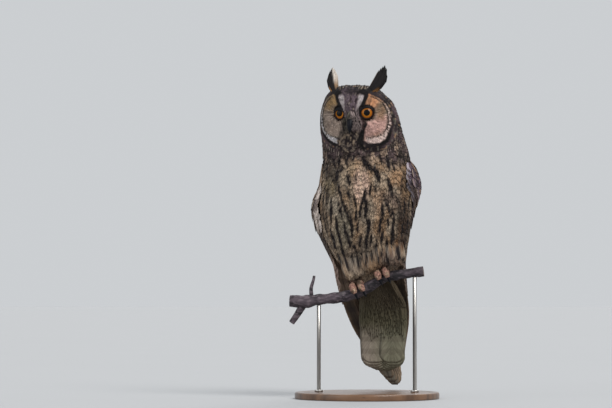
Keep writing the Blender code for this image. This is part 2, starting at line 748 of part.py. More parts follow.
# Tiers of overlapping feathers, with their reach as shares of the wing's length. Every feather leans: its
# front edge rides over the one before it, and its back edge lies under the one after it. pitch is from sheet
# to sheet, and sunk is how deep the roots dip into the core, and over what share of the feather
TIERS = {
    "primaries": {
        "root": (0.27, 0.27),
        "tips": (0.970, 1.000, 0.985, 0.930, 0.850, 0.760),
        "front_at_root": (0.0015, 0.0280),
        "front_at_tip": (-0.0005, 0.0215),
        "width": 0.0180,
        "lift": 0.0044,
        "lean": 0.22,
        "pitch": 0.00120,
        "sunk": (0.0020, 0.12),
    },
    "secondaries": {
        "root": (0.19, 0.17),
        "tips": (0.665, 0.672, 0.670, 0.655, 0.630, 0.595),
        "front_at_root": (0.0110, 0.0430),
        "front_at_tip": (0.0100, 0.0345),
        "width": 0.0170,
        "lift": 0.0084,
        "lean": 0.16,
        "pitch": 0.00110,
        "sunk": (0.0036, 0.22),
    },
    "greater_coverts": {
        "root": (0.100, 0.080),
        "tips": (0.400, 0.415, 0.430, 0.440, 0.445, 0.440),
        "front_at_root": (0.0100, 0.0500),
        "front_at_tip": (0.0080, 0.0440),
        "width": 0.0125,
        "lift": 0.0113,
        "lean": 0.11,
        "pitch": 0.00110,
        "sunk": (0.0072, 0.24),
    },
}
LEVELS = (0.08, 0.13, 0.19, 0.26, 0.33, 0.42, 0.52, 0.63, 0.75, 0.87, 0.94)  # shares where stations lie
FLAT_SHARES = (0.0, 0.5, 1.0)  # where a vane has its points across
ROUND_SHARES = (0.0, 0.25, 0.5, 0.75, 1.0)  # for the vanes that bend round the wing's edge
TIP_ROUND = 0.045  # share of the wing's length over which a feather's tip rounds off


def wing_height(word, share):
    return WING_TOP + share * (WING_END[word] - WING_TOP)


def make_core(word):
    shares = (0.0, 0.02, 0.05, 0.08, 0.13, 0.19, 0.26, 0.33, 0.38)
    table = {wing_height(word, share): along(WING_CORE, share)[0, 1:] for share in shares}
    return wing_plate(f"wing_{word}", word, list(table), lambda h: table[h][:2], lambda h: table[h][2])


def stations_of(root, tip):
    """Shares of the wing's length where a feather has stations: common levels keep the sheets parallel."""
    inner = [level for level in LEVELS if root + 0.015 < level < tip - TIP_ROUND - 0.01]
    return [root, *inner, tip - TIP_ROUND, tip - 0.25 * TIP_ROUND, tip]


def vane(word, tier, k):
    """One flight feather or covert, as a closed plate that runs down the wing's bed."""
    form = TIERS[tier]
    part = k / (len(form["tips"]) - 1)
    root = form["root"][0] + part * (form["root"][1] - form["root"][0])
    tip = form["tips"][k]
    outer, inner = [], []
    for level in stations_of(root, tip):
        t = (level - root) / (tip - root)
        from_tip = np.clip((tip - level) / TIP_ROUND, 0.03, 1.0)
        narrow = 0.55 + 0.45 * float(smooth_step(t, 0.0, 0.25))
        width = form["width"] * math.sqrt(1 - (1 - from_tip) ** 2) * narrow
        height = wing_height(word, level)
        first = form["front_at_root"][0] + t * (form["front_at_tip"][0] - form["front_at_root"][0])
        last = form["front_at_root"][1] + t * (form["front_at_tip"][1] - form["front_at_root"][1])
        room = to_midline(word, height) - MIDLINE_CLEAR if height > BACK_END else 1.0
        last = min(last, room - form["width"])
        front = first + part * (last - first) + (form["width"] - width) / 2
        sunk = form["sunk"][0] * (1 - float(smooth_step(t, 0.0, form["sunk"][1])))
        above, below = [], []
        for share in ROUND_SHARES if tier == "primaries" and k < 2 else FLAT_SHARES:
            behind = front + share * width
            lift = form["lift"] - sunk + form["pitch"] * k - form["lean"] * (behind - first)
            lift = max(lift, VANE_THICK / 2 + 0.0001)
            rise = SHAFT_RISE if share == 0.5 else 0.0
            above.append(bed_point(word, height, behind, lift + VANE_THICK / 2 + rise))
            below.append(bed_point(word, height, behind, lift - VANE_THICK / 2))
        outer.append(above)
        inner.append(below)
    return plate(tier, np.array(outer), np.array(inner))


def make_wing(word):
    feathers = [vane(word, tier, k) for tier, form in TIERS.items() for k in range(len(form["tips"]))]
    return fuse(make_core(word), feathers, [torso_cutter()])


# Tail: its stations, as height, middle across, front face forward, half width
TAIL_TABLE = np.array(
    [
        (0.1700, 0.0030, -0.0360, 0.0130),
        (0.1500, 0.0075, -0.0365, 0.0200),
        (0.1300, 0.0130, -0.0380, 0.0265),
        (0.1100, 0.0160, -0.0400, 0.0312),
        (0.0850, 0.0157, -0.0440, 0.0312),
        (0.0590, 0.0147, -0.0475, 0.0276),
        (0.0490, 0.0149, -0.0488, 0.0253),
        (0.0400, 0.0152, -0.0500, 0.0212),
        (0.0350, 0.0154, -0.0506, 0.0160),
        (0.0320, 0.0155, -0.0510, 0.0090),
    ]
)
TAIL_TURN, TAIL_FACE, TAIL_ARCH = 8, 0.0003, 0.0025


def tail_point(height, share, depth, half=None):
    """World point of the tail at a height, a share of its half width, and a depth behind its front face."""
    row = along(TAIL_TABLE, height)[0]
    station = np.array([height, row[1], 0, 0, 0, TAIL_TURN])
    forward = row[2] - depth + TAIL_ARCH * share * share
    return placed(station, share * (half or row[3]), forward, height)


# The tail's feathers, from the outermost pair, which lies in front, to the middle pair: middle across as a
# share of the tail's half width, width, tip height, depths of the left and right ones in numbers of sheets
RECTRICES = (
    (0.58, 0.0265, 0.0440, 0, 0),
    (0.53, 0.0265, 0.0400, 1, 1),
    (0.49, 0.0260, 0.0370, 2, 2),
    (0.32, 0.0250, 0.0345, 3, 4),
    (0.20, 0.0240, 0.0330, 5, 6),
    (0.07, 0.0230, 0.0320, 7, 8),
)
UNDERTAIL = (  # middle across, width, tip height, sheets in front of the outermost pair
    (-0.45, 0.0190, 0.0980, 1),
    (0.50, 0.0190, 0.0960, 1),
    (0.02, 0.0210, 0.0860, 2),
    (-0.30, 0.0170, 0.1160, 3),
    (0.30, 0.0170, 0.1150, 4),
)
TAIL_ROOT, TAIL_CORE_END = 0.150, 0.120
PITCH = 0.00095  # between the tail's sheets
TAIL_LEVELS = (TAIL_ROOT, 0.120, 0.088, 0.060)
TAIL_TIP_ROUND = 0.011
TAIL_STRAIGHT = 0.059  # the feathers run straight on below this height


def tail_vane(name, middle, width, tip, sheet, root):
    """One tail feather as a closed plate."""
    levels = [level for level in TAIL_LEVELS if level > tip + TAIL_TIP_ROUND + 0.003]
    levels = [*levels, tip + TAIL_TIP_ROUND, tip + 0.3 * TAIL_TIP_ROUND, tip]
    depth = TAIL_FACE + sheet * PITCH
    faces = []
    for offset, rise in ((VANE_THICK, 0.0), (0.0, SHAFT_RISE)):
        rows = []
        for height in levels:
            from_tip = np.clip((height - tip) / TAIL_TIP_ROUND, 0.03, 1.0)
            narrow = 0.5 + 0.5 * float(smooth_step(root - height, 0.0, 0.035))
            share = math.sqrt(1 - (1 - from_tip) ** 2) * narrow
            half = along(TAIL_TABLE, max(height, TAIL_STRAIGHT))[0, 3]
            where = [middle + side * share * width / 2 / half for side in (-1, 0, 1)]
            lift = [0.0, rise, 0.0]
            rows.append([tail_point(height, w, depth + offset - up, half) for w, up in zip(where, lift)])
        faces.append(np.array(rows))
    return plate(name, *faces)


def make_tail():
    heights = np.linspace(0.166, TAIL_CORE_END, 6)
    shares = np.linspace(-1, 1, 5)
    deep = np.array([TAIL_FACE + 9.5 * PITCH] * 5 + [TAIL_FACE + 4.0 * PITCH])
    near = np.array([TAIL_FACE - 4.5 * PITCH] * 5 + [TAIL_FACE + 0.5 * PITCH])
    back = np.array([[tail_point(h, s * 0.92, d) for s in shares] for h, d in zip(heights, deep)])
    front = np.array([[tail_point(h, s * 0.92, n) for s in shares] for h, n in zip(heights, near)])
    core = plate("tail", back, front)
    feathers = []
    for middle, width, tip, left_sheet, right_sheet in RECTRICES:
        feathers.append(tail_vane("rectrix", middle, width, tip, left_sheet, TAIL_ROOT))
        feathers.append(tail_vane("rectrix", -middle, width, tip, right_sheet, TAIL_ROOT))
    for middle, width, tip, sheet in UNDERTAIL:
        feathers.append(tail_vane("covert", middle, width, tip, -sheet, TAIL_ROOT))
    return fuse(core, feathers, [torso_cutter()])


finish(make_head(), "head", PLUMAGE)
finish(body_length("neck", NECK_HEIGHTS), "neck", PLUMAGE)
finish(body_length("torso", TORSO_HEIGHTS), "torso", PLUMAGE)
finish(make_bill(), "bill", HORN)
finish(make_tail(), "tail", TAIL)
finish(make_branch(), "perch", BARK)
finish(make_base(), "stand_base", WOOD)
for word, side in SIDES.items():
    eye_centre, _ = eye_place(side)
    finish(ball(f"eye_{word}", eye_centre, EYE_RADIUS, EYE_SIDES, EYE_RINGS), f"eye_{word}", EYE)
    head_cutter = body_length("head_cutter", HEAD_HEIGHTS, GAP, HEAD_SIDES)
    tuft = make_tuft(f"ear_tuft_{word}", side, TUFT_WIDTH[word])
    finish(fuse(tuft, (), [head_cutter]), f"ear_tuft_{word}", TUFT)
    finish(make_wing(word), f"wing_{word}", WING)
    finish(make_foot(word), f"leg_{word}", FOOT)
    for toe in TOES:
        finish(claw(f"claw_{word}_{toe}", word, toe), f"claw_{word}_{toe}", HORN)
    finish(rod(f"stand_rod_{word}", word, 0.0, 0.0), f"stand_rod_{word}", STEEL)
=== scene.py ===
import math

import bpy
import numpy as np
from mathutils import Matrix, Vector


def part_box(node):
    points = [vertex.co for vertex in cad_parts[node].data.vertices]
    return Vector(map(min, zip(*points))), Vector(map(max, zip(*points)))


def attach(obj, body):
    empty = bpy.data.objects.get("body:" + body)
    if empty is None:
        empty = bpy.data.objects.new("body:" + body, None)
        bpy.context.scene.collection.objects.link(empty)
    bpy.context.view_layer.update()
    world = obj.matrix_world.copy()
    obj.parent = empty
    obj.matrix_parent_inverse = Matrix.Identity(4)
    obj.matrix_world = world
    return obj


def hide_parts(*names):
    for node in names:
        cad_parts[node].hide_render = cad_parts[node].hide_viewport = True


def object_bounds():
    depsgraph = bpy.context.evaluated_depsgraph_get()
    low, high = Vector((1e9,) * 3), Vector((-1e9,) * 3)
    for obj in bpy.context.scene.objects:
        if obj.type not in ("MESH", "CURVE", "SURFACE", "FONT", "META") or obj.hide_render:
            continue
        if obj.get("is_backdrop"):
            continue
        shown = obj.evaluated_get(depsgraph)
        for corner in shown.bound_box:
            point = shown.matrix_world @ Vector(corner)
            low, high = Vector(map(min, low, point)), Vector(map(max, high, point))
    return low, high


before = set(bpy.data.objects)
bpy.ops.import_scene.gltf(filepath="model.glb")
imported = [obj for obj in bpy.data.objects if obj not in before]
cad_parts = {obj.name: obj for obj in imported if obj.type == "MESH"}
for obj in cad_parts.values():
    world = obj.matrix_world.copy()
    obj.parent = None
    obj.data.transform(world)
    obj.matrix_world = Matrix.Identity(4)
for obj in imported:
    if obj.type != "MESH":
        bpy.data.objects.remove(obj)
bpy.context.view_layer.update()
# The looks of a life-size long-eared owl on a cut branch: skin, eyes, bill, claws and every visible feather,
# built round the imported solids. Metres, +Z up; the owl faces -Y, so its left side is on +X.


# STAND BASE
# A turned disc of dark hardwood, oiled and satin, with a soft outer edge and one shallow groove cut near the
# rim. It is a lathe profile carried round its own axis.
def joined(*parts):
    """Arrays and plain numbers, spread to one shape, along the last axis of one array."""
    return np.stack(np.broadcast_arrays(*parts), axis=-1)


def face_grid(rings, sides):
    """Corners of the faces of a tube whose first and last ring are points, as indices into its rings-by-sides
    grid: triangles fan from each end point, and quads join each ring to the next."""
    column = np.arange(sides)
    after = (column + 1) % sides
    row = np.arange(1, rings - 2)[:, None] * sides
    quads = joined(row + column, row + after, row + sides + after, row + sides + column).reshape(-1, 4)
    start = joined(column, sides + after, sides + column)
    last = (rings - 2) * sides
    end = joined(last + column, last + after, last + sides + column)
    return start, quads, end


def tube_volume(grid):
    """Signed volume of one tube, from the triple products of its quads' corners."""
    a, b = grid[:-1], grid[1:]
    a_next, b_next = np.roll(a, -1, axis=1), np.roll(b, -1, axis=1)
    return np.sum(np.cross(a, a_next) * b_next) + np.sum(np.cross(a, b_next) * b)


def make_piece(name, groups, finish, stands_for=()):
    """One mesh object of many closed tubes. Each group is a dict of arrays over (tube, ring, side): rings
    holds points whose first and last ring of a tube have met in one point, and any other key holds a value
    for each of them. Keys with two numbers become UV maps, and keys with four become colours."""
    points, corners, sizes, extra = [], [], [], {}
    first = 0
    for group in groups:
        rings = group["rings"]
        tubes, count, sides = rings.shape[:3]
        largest = np.argmax(np.ptp(rings.reshape(tubes, -1, 3), axis=1).sum(axis=1))
        flip = tube_volume(rings[largest] - rings[largest].mean(axis=(0, 1))) < 0
        turned = {key: value[:, :, ::-1] if flip else value for key, value in group.items()}
        each = 2 + (count - 2) * sides
        flat = np.arange(count * sides)
        vertex = np.clip(1 + flat - sides, 0, each - 1)
        vertex[:sides], vertex[-sides:] = 0, each - 1
        keep = np.concatenate([[0], np.arange(sides, (count - 1) * sides), [count * sides - 1]])
        points.append(turned["rings"].reshape(tubes, -1, 3)[:, keep].reshape(-1, 3))
        start, quads, end = face_grid(count, sides)
        picked = np.concatenate([start.ravel(), quads.ravel(), end.ravel()])
        size = np.concatenate([np.full(sides, 3), np.full(len(quads), 4), np.full(sides, 3)])
        corners.append((vertex[picked][None] + np.arange(tubes)[:, None] * each + first).ravel())
        sizes.append(np.tile(size, tubes))
        for key, value in turned.items():
            if key == "rings":
                continue
            wide = value.shape[-1]
            rows = value.reshape(tubes, -1, wide)
            rows = rows[:, picked] if wide == 2 else rows[:, keep]
            extra.setdefault(key, []).append(rows.reshape(-1, wide))
        first += tubes * each
    points, corners, sizes = np.concatenate(points), np.concatenate(corners), np.concatenate(sizes)
    mesh = bpy.data.meshes.new(name)
    mesh.vertices.add(len(points))
    mesh.vertices.foreach_set("co", points.astype(np.float32).ravel())
    mesh.loops.add(len(corners))
    mesh.loops.foreach_set("vertex_index", corners.astype(np.int32))
    mesh.polygons.add(len(sizes))
    mesh.polygons.foreach_set("loop_start", (np.cumsum(sizes) - sizes).astype(np.int32))
    for key, values in extra.items():
        values = np.concatenate(values).astype(np.float32)
        if values.shape[1] == 2:
            mesh.uv_layers.new(name=key).data.foreach_set("uv", values.ravel())
        else:
            mesh.attributes.new(key, "FLOAT_COLOR", "POINT").data.foreach_set("color", values.ravel())
    mesh.update(calc_edges=True)
    mesh.shade_smooth()
    mesh.materials.append(finish)
    piece = bpy.data.objects.new(name, mesh)
    bpy.context.scene.collection.objects.link(piece)
    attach(piece, "root")
    if stands_for:
        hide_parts(*stands_for)
    return piece


class Wire:
    """A socket's output. Arithmetic on it adds Math nodes, and node() adds any other node."""

    def __init__(self, tree, socket):
        self.tree, self.socket = tree, socket

    def node(self, kind, settings=None, sockets=None, output=0):
        made = self.tree.nodes.new("ShaderNode" + kind)
        for key, value in (settings or {}).items():
            setattr(made, key, value)
        for key, value in (sockets or {}).items():
            if isinstance(value, Wire):
                self.tree.links.new(value.socket, made.inputs[key])
            elif isinstance(value, tuple) and len(value) == 3 and len(made.inputs[key].default_value) == 4:
                made.inputs[key].default_value = (*value, 1.0)
            else:
                made.inputs[key].default_value = value
        return Wire(self.tree, made.outputs[output])

    def maths(self, operation, first, second=0.0):
        return self.node("Math", {"operation": operation}, {0: first, 1: second})

    def __add__(self, other):
        return self.maths("ADD", self, other)

    def __sub__(self, other):
        return self.maths("SUBTRACT", self, other)

    def __mul__(self, other):
        return self.maths("MULTIPLY", self, other)

    def __rsub__(self, other):
        return self.maths("SUBTRACT", other, self)

    def __abs__(self):
        return self.maths("ABSOLUTE", self)

    __radd__, __rmul__ = __add__, __mul__

    def wave(self):
        return self.maths("SINE", self)

    def axis(self, k):
        """One number of a vector or a colour."""
        return self.node("SeparateXYZ", None, {0: self}, k)

    def step(self, low, high):
        """0 below low, 1 above high, and a soft S between."""
        settings = {"interpolation_type": "SMOOTHSTEP"}
        return self.node("MapRange", settings, {"Value": self, "From Min": low, "From Max": high})

    def blend(self, first, second):
        """The first colour where this is 0, the second where it is 1."""
        settings = {"data_type": "RGBA"}
        return self.node("Mix", settings, {0: self, 6: first, 7: second}, 2)

    def tint(self, other):
        """This colour multiplied by another."""
        settings = {"data_type": "RGBA", "blend_type": "MULTIPLY"}
        return self.node("Mix", settings, {0: 1.0, 6: self, 7: other}, 2)


def new_finish(name, roughness, coat=0.0, metallic=0.0):
    """(material, a wire to start its nodes from, its shader). The plain numbers are set on the shader
    itself."""
    made = bpy.data.materials.new(name)
    made.use_nodes = True
    shader = made.node_tree.nodes["Principled BSDF"]
    shader.inputs["Roughness"].default_value = roughness
    shader.inputs["Coat Weight"].default_value = coat
    shader.inputs["Metallic"].default_value = metallic
    place = made.node_tree.nodes.new("ShaderNodeTexCoord")
    return made, Wire(made.node_tree, place.outputs["Object"]), shader


def noise(place, scale, detail=3.0, stretch=(1.0, 1.0, 1.0)):
    """A noise's value at a place, with the place stretched first."""
    moved = place.node("Mapping", None, {"Vector": place, "Scale": stretch})
    return place.node("TexNoise", None, {"Vector": moved, "Scale": scale, "Detail": detail})


def attribute(place, name, output=0):
    """A value stored on the mesh: its colour, or at output 3 its fourth number."""
    return place.node("Attribute", {"attribute_name": name}, None, output)


def wire_up(place, shader, **sockets):
    """Links wires to the shader's sockets of these names."""
    for name, value in sockets.items():
        place.tree.links.new(value.socket, shader.inputs[name.replace("_", " ")])


def bump(place, height, distance, strength):
    """A normal tilted by the slope of a height that is this distance at 1."""
    return place.node("Bump", None, {"Height": height, "Distance": distance, "Strength": strength})


def full_turn(sides):
    """Angles in equal steps once round."""
    return np.linspace(0, 2 * math.pi, sides, endpoint=False)


def lathe(profile, sides, middle=(0.0, 0.0)):
    """The profile's (reach, height) points carried round a vertical axis, with a point at each end."""
    turn = full_turn(sides)
    reach, height = np.asarray(profile, float).T
    x = middle[0] + reach[:, None] * np.cos(turn)
    y = middle[1] + reach[:, None] * np.sin(turn)
    return joined(x, y, height[:, None])[None]


def round_corner(middle, radius, start, stop, count=6):
    """Points of an arc, from start to stop degrees."""
    turn = np.radians(np.linspace(start, stop, count))
    return [(middle[0] + radius * math.cos(t), middle[1] + radius * math.sin(t)) for t in turn]


_, base_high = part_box("stand_base")
BASE_RADIUS, BASE_THICK = base_high.x, base_high.z
BASE_EDGE, GROOVE_IN, GROOVE_HALF, GROOVE_DEEP = 0.0022, 0.012, 0.0012, 0.0006
profile = [(0.0, 0.0), (BASE_RADIUS - 0.004, 0.0)]
profile += round_corner((BASE_RADIUS - 0.001, 0.001), 0.001, -90, 0, 4)
profile += round_corner((BASE_RADIUS - BASE_EDGE, BASE_THICK - BASE_EDGE), BASE_EDGE, 0, 90)
groove = BASE_RADIUS - GROOVE_IN
profile += [(groove + GROOVE_HALF, BASE_THICK), (groove, BASE_THICK - GROOVE_DEEP),
    (groove - GROOVE_HALF, BASE_THICK)]
profile += [(BASE_RADIUS * share, BASE_THICK) for share in (0.7, 0.45, 0.2)] + [(0.0, BASE_THICK)]

wood, place, shader = new_finish("oiled_walnut", 0.42, coat=0.12)
grain = noise(place, 9.0, 6.0, (1.2, 14.0, 3.0))
pores = noise(place, 60.0, 3.0, (1.0, 26.0, 6.0)).step(0.62, 0.74)
figure = (grain + noise(place, 4.0, 2.0) * 0.35).step(0.48, 0.86)
plank = figure.blend((0.06, 0.028, 0.014), (0.155, 0.078, 0.038))
plank = (pores * 0.6).blend(plank, (0.02, 0.01, 0.006))
wire_up(place, shader, Base_Color=plank, Roughness=0.36 + pores * 0.25,
    Normal=bump(place, pores, -0.0001, 0.35))
make_piece("stand_base_turned", [{"rings": lathe(profile, 144)}], wood, ["stand_base"])


# STAND RODS
# Two slim steel rods, satin, each with a small collar screwed down where it meets the base.
# Rod and collar are one lathe profile round the rod's own line.
steel, place, shader = new_finish("satin_steel", 0.32, metallic=1.0)
brushed = noise(place, 220.0, 2.0, (6.0, 6.0, 0.4))
tone = brushed.blend((0.4, 0.38, 0.36), (0.56, 0.54, 0.51))
wire_up(place, shader, Base_Color=tone, Roughness=0.26 + brushed * 0.16)
COLLAR_REACH, COLLAR_HIGH = 0.0052, 0.003
SIDES = {"left": 1.0, "right": -1.0}  # the owl's own sides, with their signs across
for side in SIDES:
    low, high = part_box(f"stand_rod_{side}")
    middle = ((low.x + high.x) / 2, (low.y + high.y) / 2)
    rod = (high.x - low.x) / 2
    profile = [(0.0, low.z), (rod, low.z), (rod, BASE_THICK - 0.0004), (COLLAR_REACH, BASE_THICK - 0.0004)]
    profile += round_corner((COLLAR_REACH - 0.0008, BASE_THICK + COLLAR_HIGH - 0.0008), 0.0008, 0, 90, 4)
    profile += [(rod + 0.0004, BASE_THICK + COLLAR_HIGH), (rod, BASE_THICK + COLLAR_HIGH - 0.0004)]
    profile += [(rod, high.z - 0.0006), (rod - 0.0006, high.z), (0.0, high.z)]
    name = f"stand_rod_{side}"
    make_piece(f"{name}_turned", [{"rings": lathe(profile, 32, middle)}], steel, [name])


# PERCH
# A cut length of a thin dead branch with its bark on: dark, fissured lengthwise, with swellings, an upright
# side twig and the stub of a fork. Each is a tube along a line, whose reach follows noise in the bark.

MM = 0.001
# The branch's line from its left end to its right, in mm: across, forward, height, radius.
BRANCH = np.array(
    [
        (-96, -8, 121.5, 7.8), (-78, -5.5, 120.5, 8.2), (-60, -3.5, 123.2, 7), (-30, 1, 126.8, 6.8),
        (-10, 4.5, 132.5, 6.9), (8, 6.5, 142.5, 6.6), (24, 8.8, 151, 6.4), (45, 11.5, 154.8, 6.2),
        (70, 15, 158, 6.6),
    ]
) * MM
TWIG_ACROSS, TWIG_LENGTH, TWIG_RADIUS = -0.07, 0.0315, 0.0021
FORK_ACROSS, FORK_LENGTH, FORK_RADIUS = -0.078, 0.026, 0.0054


def along(table, at):
    """The table's rows read at values of its first column, on a smooth curve that never overshoots its
    rows."""
    table = table[np.argsort(table[:, 0])]
    xs = table[:, 0]
    at = np.clip(np.asarray(at, float), xs[0], xs[-1])
    rise = np.diff(table, axis=0) / np.diff(xs)[:, None]
    same = rise[1:] * rise[:-1] > 0
    slope = np.zeros_like(table)
    slope[1:-1] = np.where(same, 2 * rise[1:] * rise[:-1] / np.where(same, rise[1:] + rise[:-1], 1), 0)
    slope[0], slope[-1] = rise[0], rise[-1]
    i = np.clip(np.searchsorted(xs, at, side="right") - 1, 0, len(xs) - 2)
    h = (xs[i + 1] - xs[i])[..., None]
    t = (at - xs[i])[..., None] / h
    held = (1 + 2 * t) * (1 - t) ** 2 * table[i] + t * t * (3 - 2 * t) * table[i + 1]
    return held + h * t * (1 - t) * ((1 - t) * slope[i] - t * slope[i + 1])


def mottle(points, size, seed=0):
    """Smooth noise from 0 to 1 over points: random values at the corners of a lattice of this size,
    blended."""
    values = np.random.default_rng(seed).random(4096)
    cell = np.asarray(points) / size
    low = np.floor(cell).astype(np.int64)
    t = cell - low
    t = t * t * (3 - 2 * t)
    total = 0
    for corner in np.ndindex(*(2,) * cell.shape[-1]):
        key = low + corner
        pick = (key * np.array([73, 179, 283])[: cell.shape[-1]]).sum(axis=-1)
        pick = pick ^ (key[..., 0] * 13 + key[..., -1] * 7)
        weight = np.prod(np.where(corner, t, 1 - t), axis=-1)
        total = total + weight * values[pick % 4096]
    return total


def unit(vectors):
    """Vectors divided by their lengths."""
    return vectors / np.maximum(np.linalg.norm(vectors, axis=-1, keepdims=True), 1e-9)


def line_frame(path):
    """Unit vectors to the side and up at each point of a line, with as little twist as it goes along."""
    ahead = unit(np.gradient(path, axis=0))
    up = np.zeros_like(path)
    held = np.array([0.0, 0.0, 1.0]) if abs(ahead[0, 2]) < 0.9 else np.array([0.0, -1.0, 0.0])
    for k, forward in enumerate(ahead):
        held = unit(held - forward * (held @ forward))
        up[k] = held
    return np.cross(up, ahead), up


def spokes(path, sides):
    """Directions out from a line, for each side of a tube at each of the line's points."""
    side, up = line_frame(path)
    turn = full_turn(sides)
    return np.cos(turn)[None, :, None] * side[:, None] + np.sin(turn)[None, :, None] * up[:, None]


def run_along(points):
    """Distance along a line of points from its first one."""
    return np.concatenate([[0], np.cumsum(np.linalg.norm(np.diff(points, axis=0), axis=1))])


def bark_tube(path, radii, sides, rough, seed):
    """A tube along the path, closed by flat cut ends. Its reach swells with long, narrow ridges of noise."""
    turn = full_turn(sides)
    run = run_along(path)
    where = joined(run[:, None], np.cos(turn) * 0.006, np.sin(turn) * 0.006)
    ridge = mottle(where * (0.3, 1, 1), 0.0022, seed) + 0.5 * mottle(where * (0.45, 1, 1), 0.0011, seed + 1)
    knots = mottle(where, 0.011, seed + 2)
    reach = radii[:, None] * (0.93 + rough * (ridge - 0.75) + 0.13 * (knots - 0.35))
    tube = path[:, None] + spokes(path, sides) * reach[..., None]
    ends = [np.broadcast_to(path[k], (1, sides, 3)) for k in (0, -1)]
    cut_in = [path[k] + (tube[k : k + 1 or None] - path[k]) * 0.93 for k in (0, -1)]
    rings = np.concatenate([ends[0], cut_in[0], tube, cut_in[1], ends[1]])[None]
    cut = np.zeros((1, rings.shape[1], sides, 4))
    cut[:, :2, :, 0], cut[:, -2:, :, 0] = 1.0, 1.0
    return {"rings": rings, "Cut": cut}


bark, place, shader = new_finish("dead_branch_bark", 0.82)
cut_wood = attribute(place, "Cut")
long_cracks = noise(place, 120.0, 5.0, (0.35, 1.0, 1.0))
plates = noise(place, 320.0, 4.0, (0.5, 1.0, 1.0))
lichen = noise(place, 95.0, 4.0).step(0.6, 0.72)
skin_tone = long_cracks.step(0.4, 0.6).blend((0.006, 0.004, 0.006), (0.058, 0.042, 0.052))
skin_tone = (plates.step(0.46, 0.62) * 0.65).blend(skin_tone, (0.13, 0.1, 0.115))
skin_tone = (lichen * 0.25).blend(skin_tone, (0.11, 0.11, 0.095))
# The bark darkens from 30 mm on the owl's right of the middle toward its left end: partly its own darker
# colour, partly painted shade under the owl.
skin_tone = (place.axis(0).step(-0.03, 0.0) * 0.42).blend(skin_tone, (0.01, 0.007, 0.01))
skin_tone = cut_wood.blend(skin_tone, (0.36, 0.25, 0.15))
rough_bark = bump(place, long_cracks + plates * 0.5, 0.0012, 0.8)
wire_up(place, shader, Base_Color=skin_tone, Normal=rough_bark)

steps = np.linspace(BRANCH[0, 0], BRANCH[-1, 0], 260)
rows = along(BRANCH, steps)
swell = 1 + 0.04 * np.sin(steps * 410) + 0.03 * np.sin(steps * 173 + 1)
branch_line = joined(rows[:, 0], -rows[:, 1], rows[:, 2])
branch = bark_tube(branch_line, rows[:, 3] * swell, 56, 0.13, 5)


def branch_at(across):
    """(middle, radius) of the branch at a distance across."""
    row = along(BRANCH, across)
    return np.array([row[0], -row[1], row[2]]), row[3]


twig_root = branch_at(TWIG_ACROSS)[0]
share = np.linspace(0, 1, 60)[:, None]
twig_line = twig_root + share * (0, 0, TWIG_LENGTH) + share**2 * (0.004, 0, 0)
twig_line += np.sin(share * 9) * (0.0006, 0.0004, 0)
twig = bark_tube(twig_line, TWIG_RADIUS * np.linspace(1.45, 0.8, 60), 20, 0.16, 11)
fork_root = branch_at(FORK_ACROSS)[0]
fork_line = fork_root + share * (-0.016, 0.008, -FORK_LENGTH) + np.sin(share * math.pi) * (0.001, 0, 0)
fork = bark_tube(fork_line, FORK_RADIUS * np.linspace(1.0, 0.72, 60), 36, 0.14, 17)
make_piece("branch_with_bark", [branch, twig, fork], bark, ["perch"])


# SKIN
# The owl's skin, in the coat's colours made darker, as painted shade in the gaps between feathers: one form
# for head, neck and body, the tail's root, the legs and the toes. It lies inside the coat's outer surface by
# the coat's depth, which is least on the face and crown.

# Stations of the coat's outer surface: height, middle across, forward, half width and half depth in mm, and
# turn to the owl's right in degrees.
BODY = np.array(
    [
        (389, -14.5, 22, 0, 0, 18), (388, -14.5, 22, 15, 14, 18), (385.3, -14.2, 22, 25.5, 24, 18),
        (379.5, -14, 22, 34, 31, 18), (368, -10.8, 22, 43.5, 36.2, 18), (352, -9.2, 21, 48.7, 38.5, 18),
        (336, -7.4, 19, 51.2, 39.5, 18), (320, -4.3, 15.5, 52.8, 40, 15), (308, -1.9, 12.5, 54, 41.5, 11),
        (290, 0.1, 9, 56, 44.5, 8), (270, 1.1, 5, 58, 47, 8), (242.5, -1.2, 0, 58.5, 47.5, 8),
        (212, -0.5, -6, 56, 44, 8), (186, 2.2, -13, 49, 38.5, 8), (170, 4.3, -18, 41, 34.5, 8),
        (162, 5.9, -23.5, 35, 28, 8), (154, 7.4, -29, 27, 20, 8), (145, 8.7, -32, 16.5, 13, 8),
        (140, 9.5, -34, 0, 0, 8),
    ]
) * (MM, MM, MM, MM, MM, 1)
SQUARENESS = 2.2  # of every cross-section: 2 is an ellipse
FACE_HEIGHT, DISC_ACROSS, DISC_RADIUS, DISC_DEPTH = 0.3455, 0.0135, 0.0325, 0.005
BROW_RIDGE, BROW_HALF, FACE_FROM, FACE_FULL = 0.006, 0.006, 0.002, 0.016
COAT_BODY, COAT_HEAD = 0.006, 0.0026
FORM = BODY.copy()  # half width and half depth squared, which stay smooth over the crown
FORM[:, 3:5] = BODY[:, 3:5] ** 2
FORM_HEIGHTS = np.linspace(BODY[-1, 0], BODY[0, 0], 900)
FORM_ROWS = along(FORM, FORM_HEIGHTS)
CROWN_SLOPE, VENT_SLOPE = -0.225, 0.054  # how the squared half width runs on past the crown and the vent


def ramp(value, start, stop):
    """0 at start, 1 at stop and 3t^2 - 2t^3 between them, where t is the share of the way; stop may be the
    lower."""
    t = np.clip((value - start) / (stop - start), 0, 1)
    return t * t * (3 - 2 * t)


